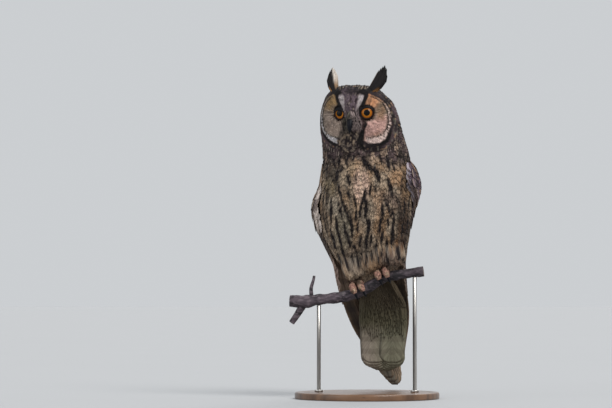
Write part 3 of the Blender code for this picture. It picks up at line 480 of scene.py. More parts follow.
def face_relief(across, height, forward):
    """How far the face stands forward of the plain head: two hollow dishes, and a ridge down to the bill. It
    fades out toward the sides, where the plain head lies less far forward."""
    from_middle = np.hypot(np.abs(across) - DISC_ACROSS, height - FACE_HEIGHT) / DISC_RADIUS
    dish = -DISC_DEPTH * np.clip(1 - from_middle**2, 0, 1)
    window = ramp(height, FACE_HEIGHT - 0.022, FACE_HEIGHT - 0.006)
    window = window * ramp(height, FACE_HEIGHT + 0.036, FACE_HEIGHT + 0.016)
    relief = dish + BROW_RIDGE * np.exp(-((across / BROW_HALF) ** 2)) * window
    return ramp(forward, FACE_FROM, FACE_FULL) * relief


def form_rows(height):
    """The station at each height, from the fine table."""
    return joined(*(np.interp(height, FORM_HEIGHTS, FORM_ROWS[:, k]) for k in range(1, 6)))


def owl_place(points):
    """(across to its left, forward) of points, from their own station's middle."""
    row = form_rows(points[..., 2])
    turn = np.radians(row[..., 4])
    x, y = points[..., 0] - row[..., 0], -points[..., 1] - row[..., 1]
    return x * np.cos(turn) + y * np.sin(turn), y * np.cos(turn) - x * np.sin(turn)


def from_middle(x, y, turn, across, forward, height):
    """World points from distances across and forward of a middle that is turned to the owl's right."""
    c, s = np.cos(turn), np.sin(turn)
    return joined(x + across * c - forward * s, -y - across * s - forward * c, height)


def placed(across, forward, height):
    """World points from distances across and forward of the station's middle at a height."""
    height = np.broadcast_to(height, np.shape(across))
    row = form_rows(height)
    return from_middle(row[..., 0], row[..., 1], np.radians(row[..., 4]), across, forward, height)


def coat_measure(points):
    """Below 0 inside the coat's outer surface and above 0 outside: the squared reach from the station's
    middle, on the section's own curve, less the squared half width there."""
    height = points[..., 2]
    row = form_rows(height)
    wide = row[..., 2] + CROWN_SLOPE * np.maximum(height - BODY[0, 0], 0)
    wide = wide - VENT_SLOPE * np.maximum(BODY[-1, 0] - height, 0)
    across, forward = owl_place(points)
    forward = forward - face_relief(across, height, forward)
    forward = forward * np.sqrt(np.maximum(row[..., 2], 1e-8) / np.maximum(row[..., 3], 1e-8))
    reach = (np.abs(across) ** SQUARENESS + np.abs(forward) ** SQUARENESS) ** (2 / SQUARENESS)
    return reach - wide


def coat_field(points, step=2e-5):
    """(distance outside the coat's surface, outward direction) at points, from the measure's own slope."""
    here = coat_measure(points)
    slope = joined(*((coat_measure(points + step * axis) - here) / step for axis in np.eye(3)))
    size = np.linalg.norm(slope, axis=-1)
    return here / np.maximum(size, 1e-6), slope / np.maximum(size, 1e-6)[..., None]


def sink(points, depth, rounds=3):
    """(the points moved to this depth under the coat's surface, outward direction there)"""
    for _ in range(rounds):
        distance, out = coat_field(points)
        points = points - out * (distance + depth)[..., None]
    return points, coat_field(points)[1]


def coat_depth(points):
    """The coat's depth at points: thin on the head and full from the neck down."""
    low = ramp(points[..., 2], 0.328, 0.298)
    return COAT_HEAD + (COAT_BODY - COAT_HEAD) * low


def section(turns):
    """(across, forward) on a squared circle of half size 1, at angles from straight ahead: its reach is where
    the powers of sine and cosine add up to 1."""
    s, c = np.sin(turns), np.cos(turns)
    reach = (np.abs(s) ** SQUARENESS + np.abs(c) ** SQUARENESS) ** (-1 / SQUARENESS)
    return reach * s, reach * c


def body_surface(heights, turns):
    """Points of the coat's outer surface at heights and at angles from straight ahead to the owl's left."""
    row = form_rows(heights)
    across, forward = section(turns)
    across = across * np.sqrt(np.maximum(row[..., 2], 0))
    forward = forward * np.sqrt(np.maximum(row[..., 3], 0))
    forward = forward + face_relief(across, heights, forward)
    return placed(across, forward, heights)


BUFF, OCHRE, CREAM, GREY, UMBER, DARK, WHITE, PINK, PLUM = np.array(
    [
        (0.46, 0.295, 0.175),
        (0.46, 0.215, 0.065),
        (0.6, 0.46, 0.33),
        (0.25, 0.22, 0.18),
        (0.075, 0.046, 0.033),
        (0.011, 0.007, 0.008),
        (0.76, 0.7, 0.64),
        (0.56, 0.34, 0.24),
        (0.07, 0.046, 0.052),
    ]
)


def mix(first, second, amount):
    """Two colours mix point by point."""
    first, second = np.asarray(first), np.asarray(second)
    return first + (second - first) * np.asarray(amount)[..., None]


PATCHES = (  # soft patches on the front: across and up in mm, half sizes, colour, strength
    (-31, 208, 15, 32, (0.37, 0.32, 0.235), 0.85),
    (-43, 241, 12, 15, (0.48, 0.41, 0.32), 0.85),
    (-17, 168, 13, 22, (0.31, 0.245, 0.19), 0.8),
    (-46, 264, 12, 16, (0.26, 0.2, 0.12), 0.85),
    (-42, 290, 17, 26, (0.07, 0.054, 0.04), 0.9),
    (30, 172, 17, 14, (0.15, 0.1, 0.085), 0.75),
    (0, 186, 14, 16, (0.185, 0.14, 0.105), 0.85),
    (33, 296, 18, 12, (0.2, 0.14, 0.12), 0.7),
    (16, 204, 9, 20, (0.3, 0.18, 0.1), 0.6),
    (-8, 262, 12, 24, (0.66, 0.46, 0.36), 1.0),
    (34, 272, 11, 14, (0.46, 0.28, 0.16), 0.95),
    # The next patch is darker partly as painted shadow of the left wing beside it, partly as darker brown
    # feathers.
    (30, 246, 13, 15, (0.215, 0.15, 0.12), 0.85),
    (12, 243, 8, 22, (0.52, 0.34, 0.22), 0.95),
    (2, 290, 7, 9, (0.56, 0.39, 0.27), 0.7),
    (46, 216, 15, 31, (0.06, 0.03, 0.016), 0.95),
    (40, 192, 8, 16, (0.2, 0.095, 0.04), 0.9),
    (-22, 287, 8, 10, (0.42, 0.32, 0.22), 0.6),
)


def body_colour(points):
    """The coat's ground colour by place: buff, cream and grey patches in front, ochre flanks, dark mottled
    back."""
    across, forward = owl_place(points)
    height = points[..., 2]
    patches, fine = mottle(points, 0.015, 3), mottle(points, 0.006, 4)
    front = mix(BUFF * 0.75, CREAM * 0.75, ramp(patches, 0.35, 0.7))
    for x, z, wide, tall, colour, strength in PATCHES:
        reach = np.hypot((points[..., 0] - x / 1000) / wide, (height - z / 1000) / tall) * 1000
        front = mix(front, colour, strength * ramp(reach + 0.5 * (patches - 0.5), 1.15, 0.45))
    streaky = points * (1, 1, 0.35)
    front = mix(front, GREY * 0.8, 0.45 * ramp(mottle(streaky, 0.005, 14), 0.5, 0.85))
    front = mix(front, CREAM, 0.45 * ramp(mottle(streaky, 0.0042, 5), 0.6, 0.85))
    back = mix(UMBER, GREY, ramp(fine, 0.3, 0.85))
    back = mix(back, BUFF * 0.8, 0.8 * ramp(patches, 0.62, 0.9))
    neck = ramp(height + 0.02 * (patches - 0.5), 0.283, 0.302)
    ruffled = mix(DARK * 1.2, PLUM * 1.35, ramp(fine, 0.25, 0.7))
    blotches = ramp(mottle(points * (1, 1, 0.5), 0.0056, 6), 0.56, 0.7)
    ruffled = mix(ruffled, CREAM * (0.84, 0.79, 0.81), 0.9 * blotches)
    body = mix(back, front, ramp(forward, -0.02, 0.012))
    return mix(body, ruffled, neck * 0.92)


def as_colour(rgb):
    """Colours with a fourth number, 1, added."""
    return np.concatenate([rgb, np.ones_like(rgb[..., :1])], axis=-1)


FORM_HALF = np.sqrt(np.maximum(FORM_ROWS[:, 3], 0))
MERIDIAN = run_along(np.column_stack([FORM_HEIGHTS, FORM_HALF]))  # distance up the body's side


def unwrap(points):
    """The skin's own unwrap: turn round the body from the middle of the back, and distance up the body's
    side."""
    across, forward = owl_place(points)
    run = np.interp(points[..., 2], FORM_HEIGHTS, MERIDIAN) / MERIDIAN[-1]
    return joined(np.arctan2(across, forward) / (2 * math.pi) + 0.5, run)


def skin_group(rings, colour):
    """One closed form of the skin with its unwrap and its colour."""
    rings = rings[None] if rings.ndim == 3 else rings
    turn = np.linspace(0, 1, rings.shape[2])
    run = np.linspace(0, 1, rings.shape[1])
    flat = joined(*np.meshgrid(turn, run))[None].repeat(len(rings), axis=0)
    return {"rings": rings, "OFBake": flat, "Ground": as_colour(colour)}


skin_finish, place, shader = new_finish("skin_under_feathers", 0.9)
ground = attribute(place, "Ground")
streaks = noise(place, 260.0, 3.0, (1.0, 1.0, 0.22)).step(0.42, 0.62)
down = streaks.blend((0.55, 0.5, 0.46), (1.0, 1.0, 1.0))
wire_up(place, shader, Base_Color=ground.tint(down), Normal=bump(place, streaks, 0.0003, 0.5))

grid_heights = np.interp(np.linspace(0, 1, 230), MERIDIAN / MERIDIAN[-1], FORM_HEIGHTS)[:, None]
grid_turns = full_turn(168)[None]
skin_grid, _ = sink(body_surface(*np.broadcast_arrays(grid_heights, grid_turns)), 0.0)
skin_grid, _ = sink(skin_grid, coat_depth(skin_grid))
for k in (0, -1):
    skin_grid[k] = skin_grid[k].mean(axis=0)
# The body's skin takes 0.6 of the coat's colour: painted shade in the gaps between feathers.
skin_forms = [skin_group(skin_grid, body_colour(skin_grid) * 0.6)]
TOE_RADIUS, TOE_SPACING, GAP = 0.004, 0.0105, 0.0003
FOOT_ACROSS = {"left": 0.0215, "right": -0.009}
TOES = {  # name: place along the branch, +1 front or -1 back, where it ends in degrees from the branch's top
    "inner_front": (-0.5, 1, 92),
    "outer_front": (0.5, 1, 98),
    "inner_back": (-0.45, -1, 78),
    "outer_back": (0.45, -1, 84),
}
LEG_TOP = 0.03


def grip_frame(across):
    """The branch's middle there, its radius, and its own directions along, to the front and up."""
    here, radius = branch_at(across)
    ahead = unit(branch_at(across + 0.004)[0] - branch_at(across - 0.004)[0])
    front = unit(np.cross(ahead, (0, 0, 1)))
    return here, radius, ahead, front, np.cross(front, ahead)


def grip_arc(word, toe, start, stop, count, reach_over=0.0):
    """Points round the branch at the reach of a toe's middle, from start to stop degrees from the top."""
    place, way, _ = TOES[toe]
    here, radius, ahead, front, up = grip_frame(FOOT_ACROSS[word])
    middle = here + ahead * place * TOE_SPACING
    reach = radius * 1.07 + GAP + TOE_RADIUS + reach_over
    turns = np.radians(np.linspace(start, stop, count))
    return middle + reach * (np.outer(np.sin(turns), way * front) + np.outer(np.cos(turns), up))


def swept(path, radii, sides):
    """Rings of a round tube along a line; a radius of 0 at an end makes a point there."""
    rings = path[:, None] + spokes(path, sides) * np.asarray(radii)[:, None, None]
    return np.concatenate([path[:1, None].repeat(sides, 1), rings[1:-1], path[-1:, None].repeat(sides, 1)])


def leg_line(word):
    """(line, radii) of the feathered leg, from the toes' root up to the belly."""
    here, radius, _, _, up = grip_frame(FOOT_ACROSS[word])
    ankle = here + up * (radius + TOE_RADIUS * 1.6)
    knee = ankle + (0, 0.009, LEG_TOP)
    share = np.linspace(-0.08, 1.0, 26)
    radii = np.interp(share, [-0.08, 0.5, 1.0], [0.0062, 0.0078, 0.0098])
    return ankle + share[:, None] * (knee - ankle), radii


def toe_line(word, toe):
    """(line, radii) of a feathered toe, from its root round the branch to its claw."""
    path = grip_arc(word, toe, -8, TOES[toe][2], 26)
    share = np.linspace(0, 1, 26)
    return path, TOE_RADIUS * np.interp(share, [0, 0.2, 0.4, 0.6, 0.8, 1], [1.0, 1.06, 1.08, 1.0, 0.98, 0.62])


LEG_SKIN, TOE_SKIN = 0.0018, 0.0011  # how far the skin lies inside the legs' and toes' feathers
# The legs' and toes' skin is likewise darker than their feathers, as painted shade.
for word in SIDES:
    line, radii = leg_line(word)
    rings = swept(line, radii - LEG_SKIN, 28)
    skin_forms.append(skin_group(rings, np.broadcast_to(BUFF * 0.6, rings[None].shape)))
    for toe in TOES:
        line, radii = toe_line(word, toe)
        rings = swept(line, radii - TOE_SKIN, 22)
        skin_forms.append(skin_group(rings, np.broadcast_to(PINK * 0.55, rings[None].shape)))
flesh = ["head", "neck", "torso", "leg_left", "leg_right"]
make_piece("owl_skin", skin_forms, skin_finish, flesh)


# EYES
# Large forward-facing eyes: a clear cornea over an orange iris with fine radial fibres, a dark outer ring and
# a black pupil. Each ball is as deep as a real eye's front, and dark lids close round it.
EYE_ACROSS, EYE_HEIGHT, EYE_RADIUS, EYE_SINK, EYE_SPLAY = 0.0187, 0.3523, 0.0105, 0.0078, math.radians(14)
EYE_SHIFT = {1.0: 0.0, -1.0: 0.0016}  # how much nearer to the bill the left and the right eye lie
IRIS_REACH, PUPIL_REACH = math.radians(44), math.radians(22.5)  # from the middle of the gaze
LOOK_IN = {1.0: 0.0, -1.0: 10.0}  # degrees that the left and the right eye turn in to the bill


def front_point(across, height):
    """The coat's outer surface at distances across the face."""
    across, height = np.broadcast_arrays(np.asarray(across, float), np.asarray(height, float))
    row = form_rows(height)
    ratio = np.clip(np.abs(across) / np.sqrt(np.maximum(row[..., 2], 1e-9)), 0, 1)
    forward = np.sqrt(np.maximum(row[..., 3], 0)) * (1 - ratio**SQUARENESS) ** (1 / SQUARENESS)
    forward = forward + face_relief(across, height, forward)
    return placed(across, forward, height), forward


def eye_place(side):
    """(middle of the eyeball, direction that it looks in)"""
    across = EYE_ACROSS - EYE_SHIFT[side]
    seat, forward = front_point(side * across, EYE_HEIGHT)
    back = forward - EYE_SINK * math.cos(EYE_SPLAY)
    middle = placed(side * (across - EYE_SINK * math.sin(EYE_SPLAY)), back, EYE_HEIGHT)
    gaze = unit(seat - middle)
    turn = math.radians(LOOK_IN[side]) * side
    spin = np.array([[math.cos(turn), math.sin(turn), 0], [-math.sin(turn), math.cos(turn), 0], [0, 0, 1]])
    return middle, spin @ gaze


def gaze_frame(gaze):
    """(side, up) at right angles to the gaze."""
    side = unit(np.cross(gaze, (0, 0, 1)))
    return side, np.cross(side, gaze)


cornea, place, shader = new_finish("orange_eye", 0.5, coat=0.22)
shader.inputs["Coat Roughness"].default_value = 0.04
shader.inputs["Specular IOR Level"].default_value = 0.05
look = place.node("UVMap", {"uv_map": "Look"})
turn, reach = look.axis(0), look.axis(1)
from_gaze = reach * math.pi
round_it = turn * (2 * math.pi)
circle = {0: round_it.wave(), 1: (round_it + math.pi / 2).wave(), 2: from_gaze * 0.6}
circle = place.node("CombineXYZ", None, circle)
fibres = noise(circle, 14.0, 4.0)
iris = fibres.step(0.3, 0.7).blend((0.2, 0.052, 0.003), (0.4, 0.122, 0.004))
near_pupil = 1.0 - from_gaze.step(PUPIL_REACH, PUPIL_REACH + 0.14)
iris = (near_pupil * 0.45).blend(iris, (0.5, 0.22, 0.01))
# The iris darkens over its upper half: painted shade of the upper lid and brow.
iris = (round_it.wave().step(0.1, 0.9) * 0.55).blend(iris, (0.12, 0.036, 0.006))
limbal = from_gaze.step(IRIS_REACH - 0.17, IRIS_REACH - 0.02)
iris = limbal.blend(iris, (0.03, 0.008, 0.003))
pupil = from_gaze.step(PUPIL_REACH - 0.012, PUPIL_REACH + 0.012)
wire_up(place, shader, Base_Color=pupil.blend((0.0006, 0.0006, 0.0008), iris))
for word, sign in SIDES.items():
    middle, gaze = eye_place(sign)
    side, up = gaze_frame(gaze)
    tilt = np.linspace(0, math.pi, 64)[:, None]
    turns = full_turn(72)[None]
    radial = np.cos(turns)[..., None] * side + np.sin(turns)[..., None] * up
    ball = middle + EYE_RADIUS * 0.985 * (np.cos(tilt)[..., None] * gaze + np.sin(tilt)[..., None] * radial)
    looks = joined(turns / (2 * math.pi), tilt / math.pi)
    make_piece(f"eye_{word}_ball", [{"rings": ball[None], "Look": looks[None]}], cornea,
        [f"eye_{word}"])

# The lids are thin rolls of dark bare skin round each eye. The upper ones hang lower, most so on the bill's
# side.
LID_REACH, LID_THICK = 0.0077, 0.0008
OPENING = {"left": 1.0, "right": 0.75}  # size across
LIDS = {  # rolls, height and slant of the upper lid and of the lower one
    "left": ((3, 0.92, 0.14), (1, 1.0, 0.0)),
    "right": ((5, 0.68, 0.35), (1, 0.98, 0.0)),
}
lid_skin, place, shader = new_finish("dark_lids", 0.5)
creases = noise(place, 900.0, 3.0)
shader.inputs["Specular IOR Level"].default_value = 0.15
lid_tone = creases.blend((0.0015, 0.0012, 0.002), (0.0055, 0.0045, 0.006))
wire_up(place, shader, Base_Color=lid_tone, Normal=bump(place, creases, 0.0002, 0.6))
lids = []
for word, sign in SIDES.items():
    middle, gaze = eye_place(sign)
    side, up = gaze_frame(gaze)
    for start, (rolls, tall, slant) in zip((-8, 172), LIDS[word]):
        turns = np.radians(np.linspace(start, start + 196, 60))
        near_bill = 0.5 + 0.5 * sign * np.cos(turns)
        for grow in np.arange(rolls) * 0.0009:
            x = (LID_REACH * OPENING[word] + grow * 0.25) * np.cos(turns)
            z = (LID_REACH * tall * (1 - slant * near_bill) + grow) * np.sin(turns)
            forward = np.sqrt(np.maximum(EYE_RADIUS**2 - x**2 - z**2, 0.0045**2)) + 0.0004
            line = middle + forward[:, None] * gaze + np.outer(x, side) + np.outer(z, up)
            shape = np.sin(np.linspace(0, math.pi, 60)) ** 0.4
            lids.append({"rings": swept(line, LID_THICK * shape, 14)[None]})
make_piece("eyelids", lids, lid_skin)


# BILL
# Black horn, short and strongly hooked; feathers hide all but its front. Each half is a tube along its own
# curve, deeper than wide, and the upper one ends in a point over the lower.

# The upper half and the lower half, in mm: forward, height, half width.
BILL = np.array(
    [
        (32, 347, 4.6), (38.2, 345, 4.6), (42.6, 340.8, 4.2), (45, 334.5, 3.2), (45.2, 329.8, 1.8),
        (44.2, 326.2, 0.1),
    ]
) * MM
LOWER_BILL = np.array([(0.033, 0.335, 0.0034), (0.0405, 0.334, 0.0028), (0.044, 0.3322, 0.0008)])


def bill_tube(table, count, sides):
    """A tube along a smooth line through the table's rows, straight ahead of the face."""
    share = np.linspace(0, 1, len(table))
    rows = along(np.column_stack([share, table]), np.linspace(0, 1, count))[:, 1:]
    row = form_rows(FACE_HEIGHT)
    line = from_middle(row[0], row[1], np.radians(row[4]), 0, rows[:, 0], rows[:, 1])
    return swept(line, rows[:, 2], sides)[None]


horn, place, shader = new_finish("black_horn", 0.45)
shader.inputs["Specular IOR Level"].default_value = 0.12
growth = noise(place, 420.0, 3.0, (1.0, 1.0, 0.3))
horn_tone = growth.blend((0.0016, 0.0019, 0.0035), (0.006, 0.0062, 0.0095))
wire_up(place, shader, Base_Color=horn_tone, Roughness=0.36 + growth * 0.2,
    Normal=bump(place, growth, 0.0001, 0.5))
bill_parts = [{"rings": bill_tube(BILL, 48, 28)}, {"rings": bill_tube(LOWER_BILL, 24, 20)}]
make_piece("bill_horn", bill_parts, horn, ["bill"])


# CLAWS
# Four black claws to a foot, each a curved cone that carries on from its toe's end round the branch.
CLAW_RADIUS, CLAW_SWEEP = 0.0017, 58
for word in SIDES:
    claws = []
    for toe, (_, _, stop) in TOES.items():
        path = grip_arc(word, toe, stop + 2, stop + CLAW_SWEEP, 26, -0.0008)
        radii = CLAW_RADIUS * np.interp(np.linspace(0, 1, 26), [0, 0.2, 0.4, 0.6, 0.8, 1],
            [1, 0.96, 0.82, 0.62, 0.36, 0])
        claws.append({"rings": swept(path, radii, 16)[None]})
    make_piece(f"claws_{word}", claws, horn, [f"claw_{word}_{toe}" for toe in TOES])


# COAT: FEATHERS IN LOCKS
# Body feathers are soft fans. Each is built as a few flat, pointed locks side by side that follow one trail:
# from its root on the skin, along the lie of the coat, rising to the coat's surface at its tip.
LOCK = np.array([0.0, 0.1, 0.4, 0.7, 0.9, 1.0])  # shares of a lock's length where it has a ring
LOCK_HALF = np.array([0.0, 0.55, 1.0, 0.95, 0.6, 0.0])  # its half width there
PATCH_SIZE = 0.003  # of a feather's patch on the unwrap


def coat_trails(roots, flow, length, low, high, steps=6):
    """(points, outward directions) of trails over the coat: at each step a point moves on along the flow, and
    settles at a depth that falls from low at the root to high at the tip."""
    here, out = sink(roots, low)
    points, outs = [here], [out]
    for k in range(steps):
        ahead = flow(here)
        ahead = unit(ahead - out * np.sum(ahead * out, axis=-1, keepdims=True))
        share = (k + 1) / steps
        here, out = sink(here + ahead * (length / steps)[:, None], low + (high - low) * share, 2)
        points.append(here)
        outs.append(out)
    return np.stack(points, axis=1), np.stack(outs, axis=1)


def fans(points, outward, width, locks, seed, bake, ragged=0.14, ridge=0.00022, droop=0.45, fringe=0.22,
        full=1.5):
    """Feathers as fans of locks along trails (feather, step, point). A lock's place across the feather is
    fixed, its reach is shortest at the fan's edges, and its three sides are its two edges and a ridge between
    them."""
    count, steps = points.shape[:2]
    rng = np.random.default_rng(seed)
    place = (np.arange(locks) + 0.5) / locks * 2 - 1 + rng.uniform(-0.35, 0.35, (count, locks)) / locks
    reach = 1 - fringe * place**2 - ragged * rng.random((count, locks))
    share = LOCK * reach[..., None]
    at = share * (steps - 1)
    low = np.minimum(at.astype(int), steps - 2)
    t = (at - low)[..., None]
    each = np.arange(count)[:, None, None]
    side = unit(np.cross(outward, np.gradient(points, axis=1)))
    middle, out, across = ((1 - t) * v[each, low] + t * v[each, low + 1] for v in (points, outward, side))
    wide = np.broadcast_to(width, count)[:, None, None]
    spread = wide / 2 * (0.35 + 0.65 * ramp(share, 0, 0.4)) * (1 - 0.25 * ramp(share, 0.75, 1.0))
    half = wide / (2 * locks) * full * LOCK_HALF
    x = (place[..., None] * spread)[..., None] + half[..., None] * np.array([-1, 0, 1])
    rise = ridge * np.array([0, 1, 0]) * (LOCK_HALF > 0)[:, None] - x**2 / wide[..., None] * droop
    rings = middle[..., None, :] + across[..., None, :] * x[..., None] + out[..., None, :] * rise[..., None]
    vane = joined(0.5 + x / wide[..., None], share[..., None])
    baked = bake[:, None, None, None] + (vane - 0.5) * PATCH_SIZE
    shape = (count * locks, len(LOCK), 3)
    return {"rings": rings.reshape(*shape, 3), "Vane": vane.reshape(*shape, 2),
        "OFBake": baked.reshape(*shape, 2)}


def painted(group, count, ground, mark):
    """The group with its colours: ground and mark are given for each feather, or for each point."""
    tubes, rings, sides = group["rings"].shape[:3]
    for key, value in (("Ground", as_colour(ground)), ("Mark", mark)):
        value = np.asarray(value, float)
        if value.ndim == 2 and len(value) == count:
            value = value.repeat(tubes // count, axis=0)[:, None, None]
        group[key] = np.broadcast_to(value, (tubes, rings, sides, 4))
    return group


def marks(count, rng, streak=0.0, bars=0.0, edge=0.0):
    """For each feather: its shaft streak's half width, its count of bars, its pale edge, and a chance
    number."""
    return joined(streak, bars, edge, rng.random(count))


def own_shade(group, count, rng, low, high):
    """A random shade for each feather, at all its points."""
    return rng.uniform(low, high, count).repeat(len(group["rings"]) // count)[:, None, None, None]


def coat_roots(low, high, rows_apart, apart, seed):
    """Roots in staggered rows on the coat between two heights, the rows level and equally far apart along
    it."""
    rng = np.random.default_rng(seed)
    start, stop = np.interp([low, high], FORM_HEIGHTS, MERIDIAN)
    turns = np.linspace(-math.pi, math.pi, 721)
    roots = []
    for k, at in enumerate(np.arange(start, stop, rows_apart)):
        height = np.interp(at, MERIDIAN, FORM_HEIGHTS)
        ring = body_surface(np.full(721, height), turns)
        run = run_along(ring)
        count = max(3, round(run[-1] / apart))
        place = (np.arange(count) + 0.5 * (k % 2) + rng.uniform(-0.28, 0.28, count)) / count * run[-1]
        heights = np.interp(at + rng.uniform(-0.3, 0.3, count) * rows_apart, MERIDIAN, FORM_HEIGHTS)
        roots.append(body_surface(heights, np.interp(place % run[-1], run, turns)))
    return np.concatenate(roots)


def down_flow(points):
    """The lie of the body's feathers: down, and a little back on the flanks."""
    across, _ = owl_place(points)
    return joined(0, 0.12 * np.clip(np.abs(across) / 0.05, 0, 1), -1)


def feather_finish(name, dark=(0.012, 0.008, 0.008), pale=(0.62, 0.52, 0.42), barred=0.8):
    """Vane and barbs: the ground colour with a dark streak along the shaft, bars, a pale edge, and fine
    barbs."""
    made, place, shader = new_finish(name, 0.78)
    shader.inputs["Specular IOR Level"].default_value = 0.25
    ground = attribute(place, "Ground")
    mark = attribute(place, "Mark")
    chance = attribute(place, "Mark", 3)
    streak, bars, edge = (mark.axis(k) for k in range(3))
    vane = place.node("UVMap", {"uv_map": "Vane"})
    u, v = vane.axis(0), vane.axis(1)
    across = abs(u - 0.5) * 2.0
    barb_place = place.node("CombineXYZ", None,
        {0: across * 1.2, 1: v * 16.0 - across * 4.0, 2: chance * 37.0})
    barbs = noise(barb_place, 2.4, 2.0)
    wobble = noise(barb_place, 0.6, 2.0)
    colour = barbs.step(0.25, 0.8).blend((0.62, 0.6, 0.58), (1.12, 1.1, 1.08))
    colour = ground.tint(colour)
    colour = (edge * across.step(0.45, 1.0)).blend(colour, pale)
    bar = (v * bars * 6.2832 + wobble * 3.0).wave().step(0.05, 0.55) * bars.step(0.1, 0.5)
    colour = (bar * barred).blend(colour, dark)
    line = (1.0 - (across + (wobble - 0.5) * 0.3 - streak).step(-0.1, 0.12)) * streak.step(0.01, 0.08)
    colour = line.blend(colour, dark)
    wire_up(place, shader, Base_Color=colour, Normal=bump(place, barbs, 0.0002, 0.5))
    return made


coat_finish = feather_finish("soft_plumage")


# BREAST, BELLY, MANTLE AND NECK
# Rows of overlapping body feathers from the vent to the nape, buff and grey in front with bold dark shaft
# streaks that break into cross lines on the belly, and mottled grey-brown behind.

# The front's bold streaks, in mm: where each starts and how far it runs, both across and up, and its width.
STREAKS = (
    (-54, 303, 1, -11, 3), (-48, 304, 2, -14, 4), (-43, 297, 3, -10, 3.5), (-52, 285, 2, -13, 3.5),
    (-45, 276, 4, -9, 3.5), (-34, 301, -2, -13, 3.5), (-28, 297, 3, -12, 3), (-22, 303, -3, -8, 3),
    (-17, 301, -2, -7, 3), (-37, 283, -1, -13, 3.5), (-31, 288, -2, -8, 3), (-13, 305, 3, -4, 3),
    (-6, 299, 4, -14, 5), (-1, 292, 7, -11, 5), (9, 286, 5, -17, 5), (15, 301, 2, -11, 3),
    (23, 302, 3, -18, 4), (30, 292, 3, -10, 3), (36, 304, 4, -12, 4), (49, 301, 3, -16, 4),
    (45, 281, 3, -12, 4), (-25, 279, 3, -15, 3.5), (-15, 277, 1, -8, 2.5), (-37, 266, 5, -20, 3.5),
    (-26, 260, 5, -14, 3), (-33, 249, 5, -17, 3), (-17, 251, 3, -14, 2.5), (-3, 257, -3, -15, 4),
    (4, 264, -2, -13, 3), (-2, 246, -1, -19, 4), (7, 263, 3, -6, 2.5), (25, 271, 5, -20, 4.5),
    (42, 268, 7, -13, 3.5), (36, 249, 6, -17, 3.5), (20, 249, 7, -17, 3.5), (18, 242, 1, -19, 3.5),
    (-48, 256, -4, -22, 3), (-45, 246, 0, -28, 3), (-54, 242, -3, -17, 3), (-36, 242, 4, -17, 3),
    (-27, 237, 5, -19, 3.5), (-21, 225, 2, -24, 3.5), (-39, 226, 2, -19, 3), (-14, 232, -1, -14, 2.5),
    (-8, 242, -2, -17, 3), (-1, 225, 2, -12, 3), (3, 220, -3, -19, 3.5), (-12, 218, -1, -12, 2.5),
    (30, 234, 3, -16, 3.5), (26, 232, 4, -9, 2.5), (31, 216, 1, -22, 3.5), (16, 223, -1, -17, 3),
    (19, 207, -2, -15, 3), (24, 225, 2, -12, 2.5), (40, 237, 4, -17, 3), (-52, 225, 3, -24, 3),
    (-45, 208, 6, -21, 3.5), (-36, 207, 4, -19, 3), (-29, 218, 2, -17, 2.5), (-25, 204, 4, -16, 3),
    (-36, 179, 6, -13, 3), (-32, 188, 4, -13, 3), (-28, 175, 5, -16, 3.5), (-19, 194, 6, -14, 3),
    (-8, 201, -2, -13, 3), (-2, 201, 1, -14, 3), (5, 204, -1, -14, 2.5), (11, 197, 0, -16, 3),
    (18, 187, -1, -10, 2.5), (24, 197, 0, -19, 3), (30, 201, 0, -13, 2.5), (36, 191, 4, -19, 4),
    (44, 201, 1, -16, 3), (48, 216, -2, -19, 3.5), (-7, 182, -1, -14, 2.5), (-1, 180, -1, -12, 2.5),
    (5, 182, 1, -11, 2.5), (-13, 178, 3, -16, 2.5), (13, 177, 1, -9, 2.5), (24, 177, 2, -9, 2.5),
    (-20, 180, 3, -12, 2.5), (-33, 161, 6, -12, 3),
)


def side_streaks(points):
    """1 on the flanks' dark streaks and 0 between them: upright dashes in wavering columns."""
    across, forward = owl_place(points)
    height = points[..., 2]
    run = np.arctan2(across, forward) * 0.052 + 0.004 * (mottle(points * (0, 0, 1), 0.035, 8) - 0.5)
    column = np.floor(run / 0.0092)
    chance = np.random.default_rng(21).random((64, 4))[(column.astype(int) % 64)]
    x = run / 0.0092 - column - 0.3 - 0.4 * chance[..., 0]
    phase = (height / (0.026 + 0.01 * chance[..., 1]) + chance[..., 2]) % 1.0
    taper = ramp(phase, 0.06, 0.3) * ramp(phase, 0.95, 0.72)
    dash = ramp(np.abs(x) - 0.19 * taper, 0.05, -0.03)
    return dash * np.clip(taper * 3, 0, 1) * ramp(forward, -0.012, 0.008)


def streak_field(points):
    """1 on the dark streaks: each is a spindle about its own line, with a rough edge and fine cross lines
    beside it."""
    across, forward = owl_place(points)
    x, z = points[..., 0] * 1000, points[..., 2] * 1000
    rough = mottle(points, 0.0022, 9) - 0.5
    total = np.zeros(x.shape)
    low = ramp(z, 235, 190)
    for x0, z0, dx, dz, wide in STREAKS:
        near = (np.abs(x - x0 - dx / 2) < 9) & (np.abs(z - z0 - dz / 2) < 18) & (forward > -0.01)
        xn, zn = x[near], z[near]
        t = ((xn - x0) * dx + (zn - z0) * dz) / (dx * dx + dz * dz)
        off = np.abs((xn - x0) * dz - (zn - z0) * dx) / math.hypot(dx, dz)
        half = wide * 0.62 * np.sin(np.clip(t * 0.76 + 0.12, 0, 1) * math.pi) ** 0.6 * (1 + 1.1 * rough[near])
        streak = ramp(off - half, 0.45, -0.35) * (half > 0.15)
        bars = ramp(np.sin(t * 21 + 5 * rough[near]), 0.3, 0.85) * ramp(off, 4.2, 1.5) * low[near]
        total[near] = np.maximum(total[near], np.maximum(streak, 0.62 * bars * (t > 0) * (t < 1.1)))
    on_side = ramp(np.abs(across), 0.04, 0.048)
    return np.maximum(total * (1 - on_side * 0.5), side_streaks(points) * on_side)


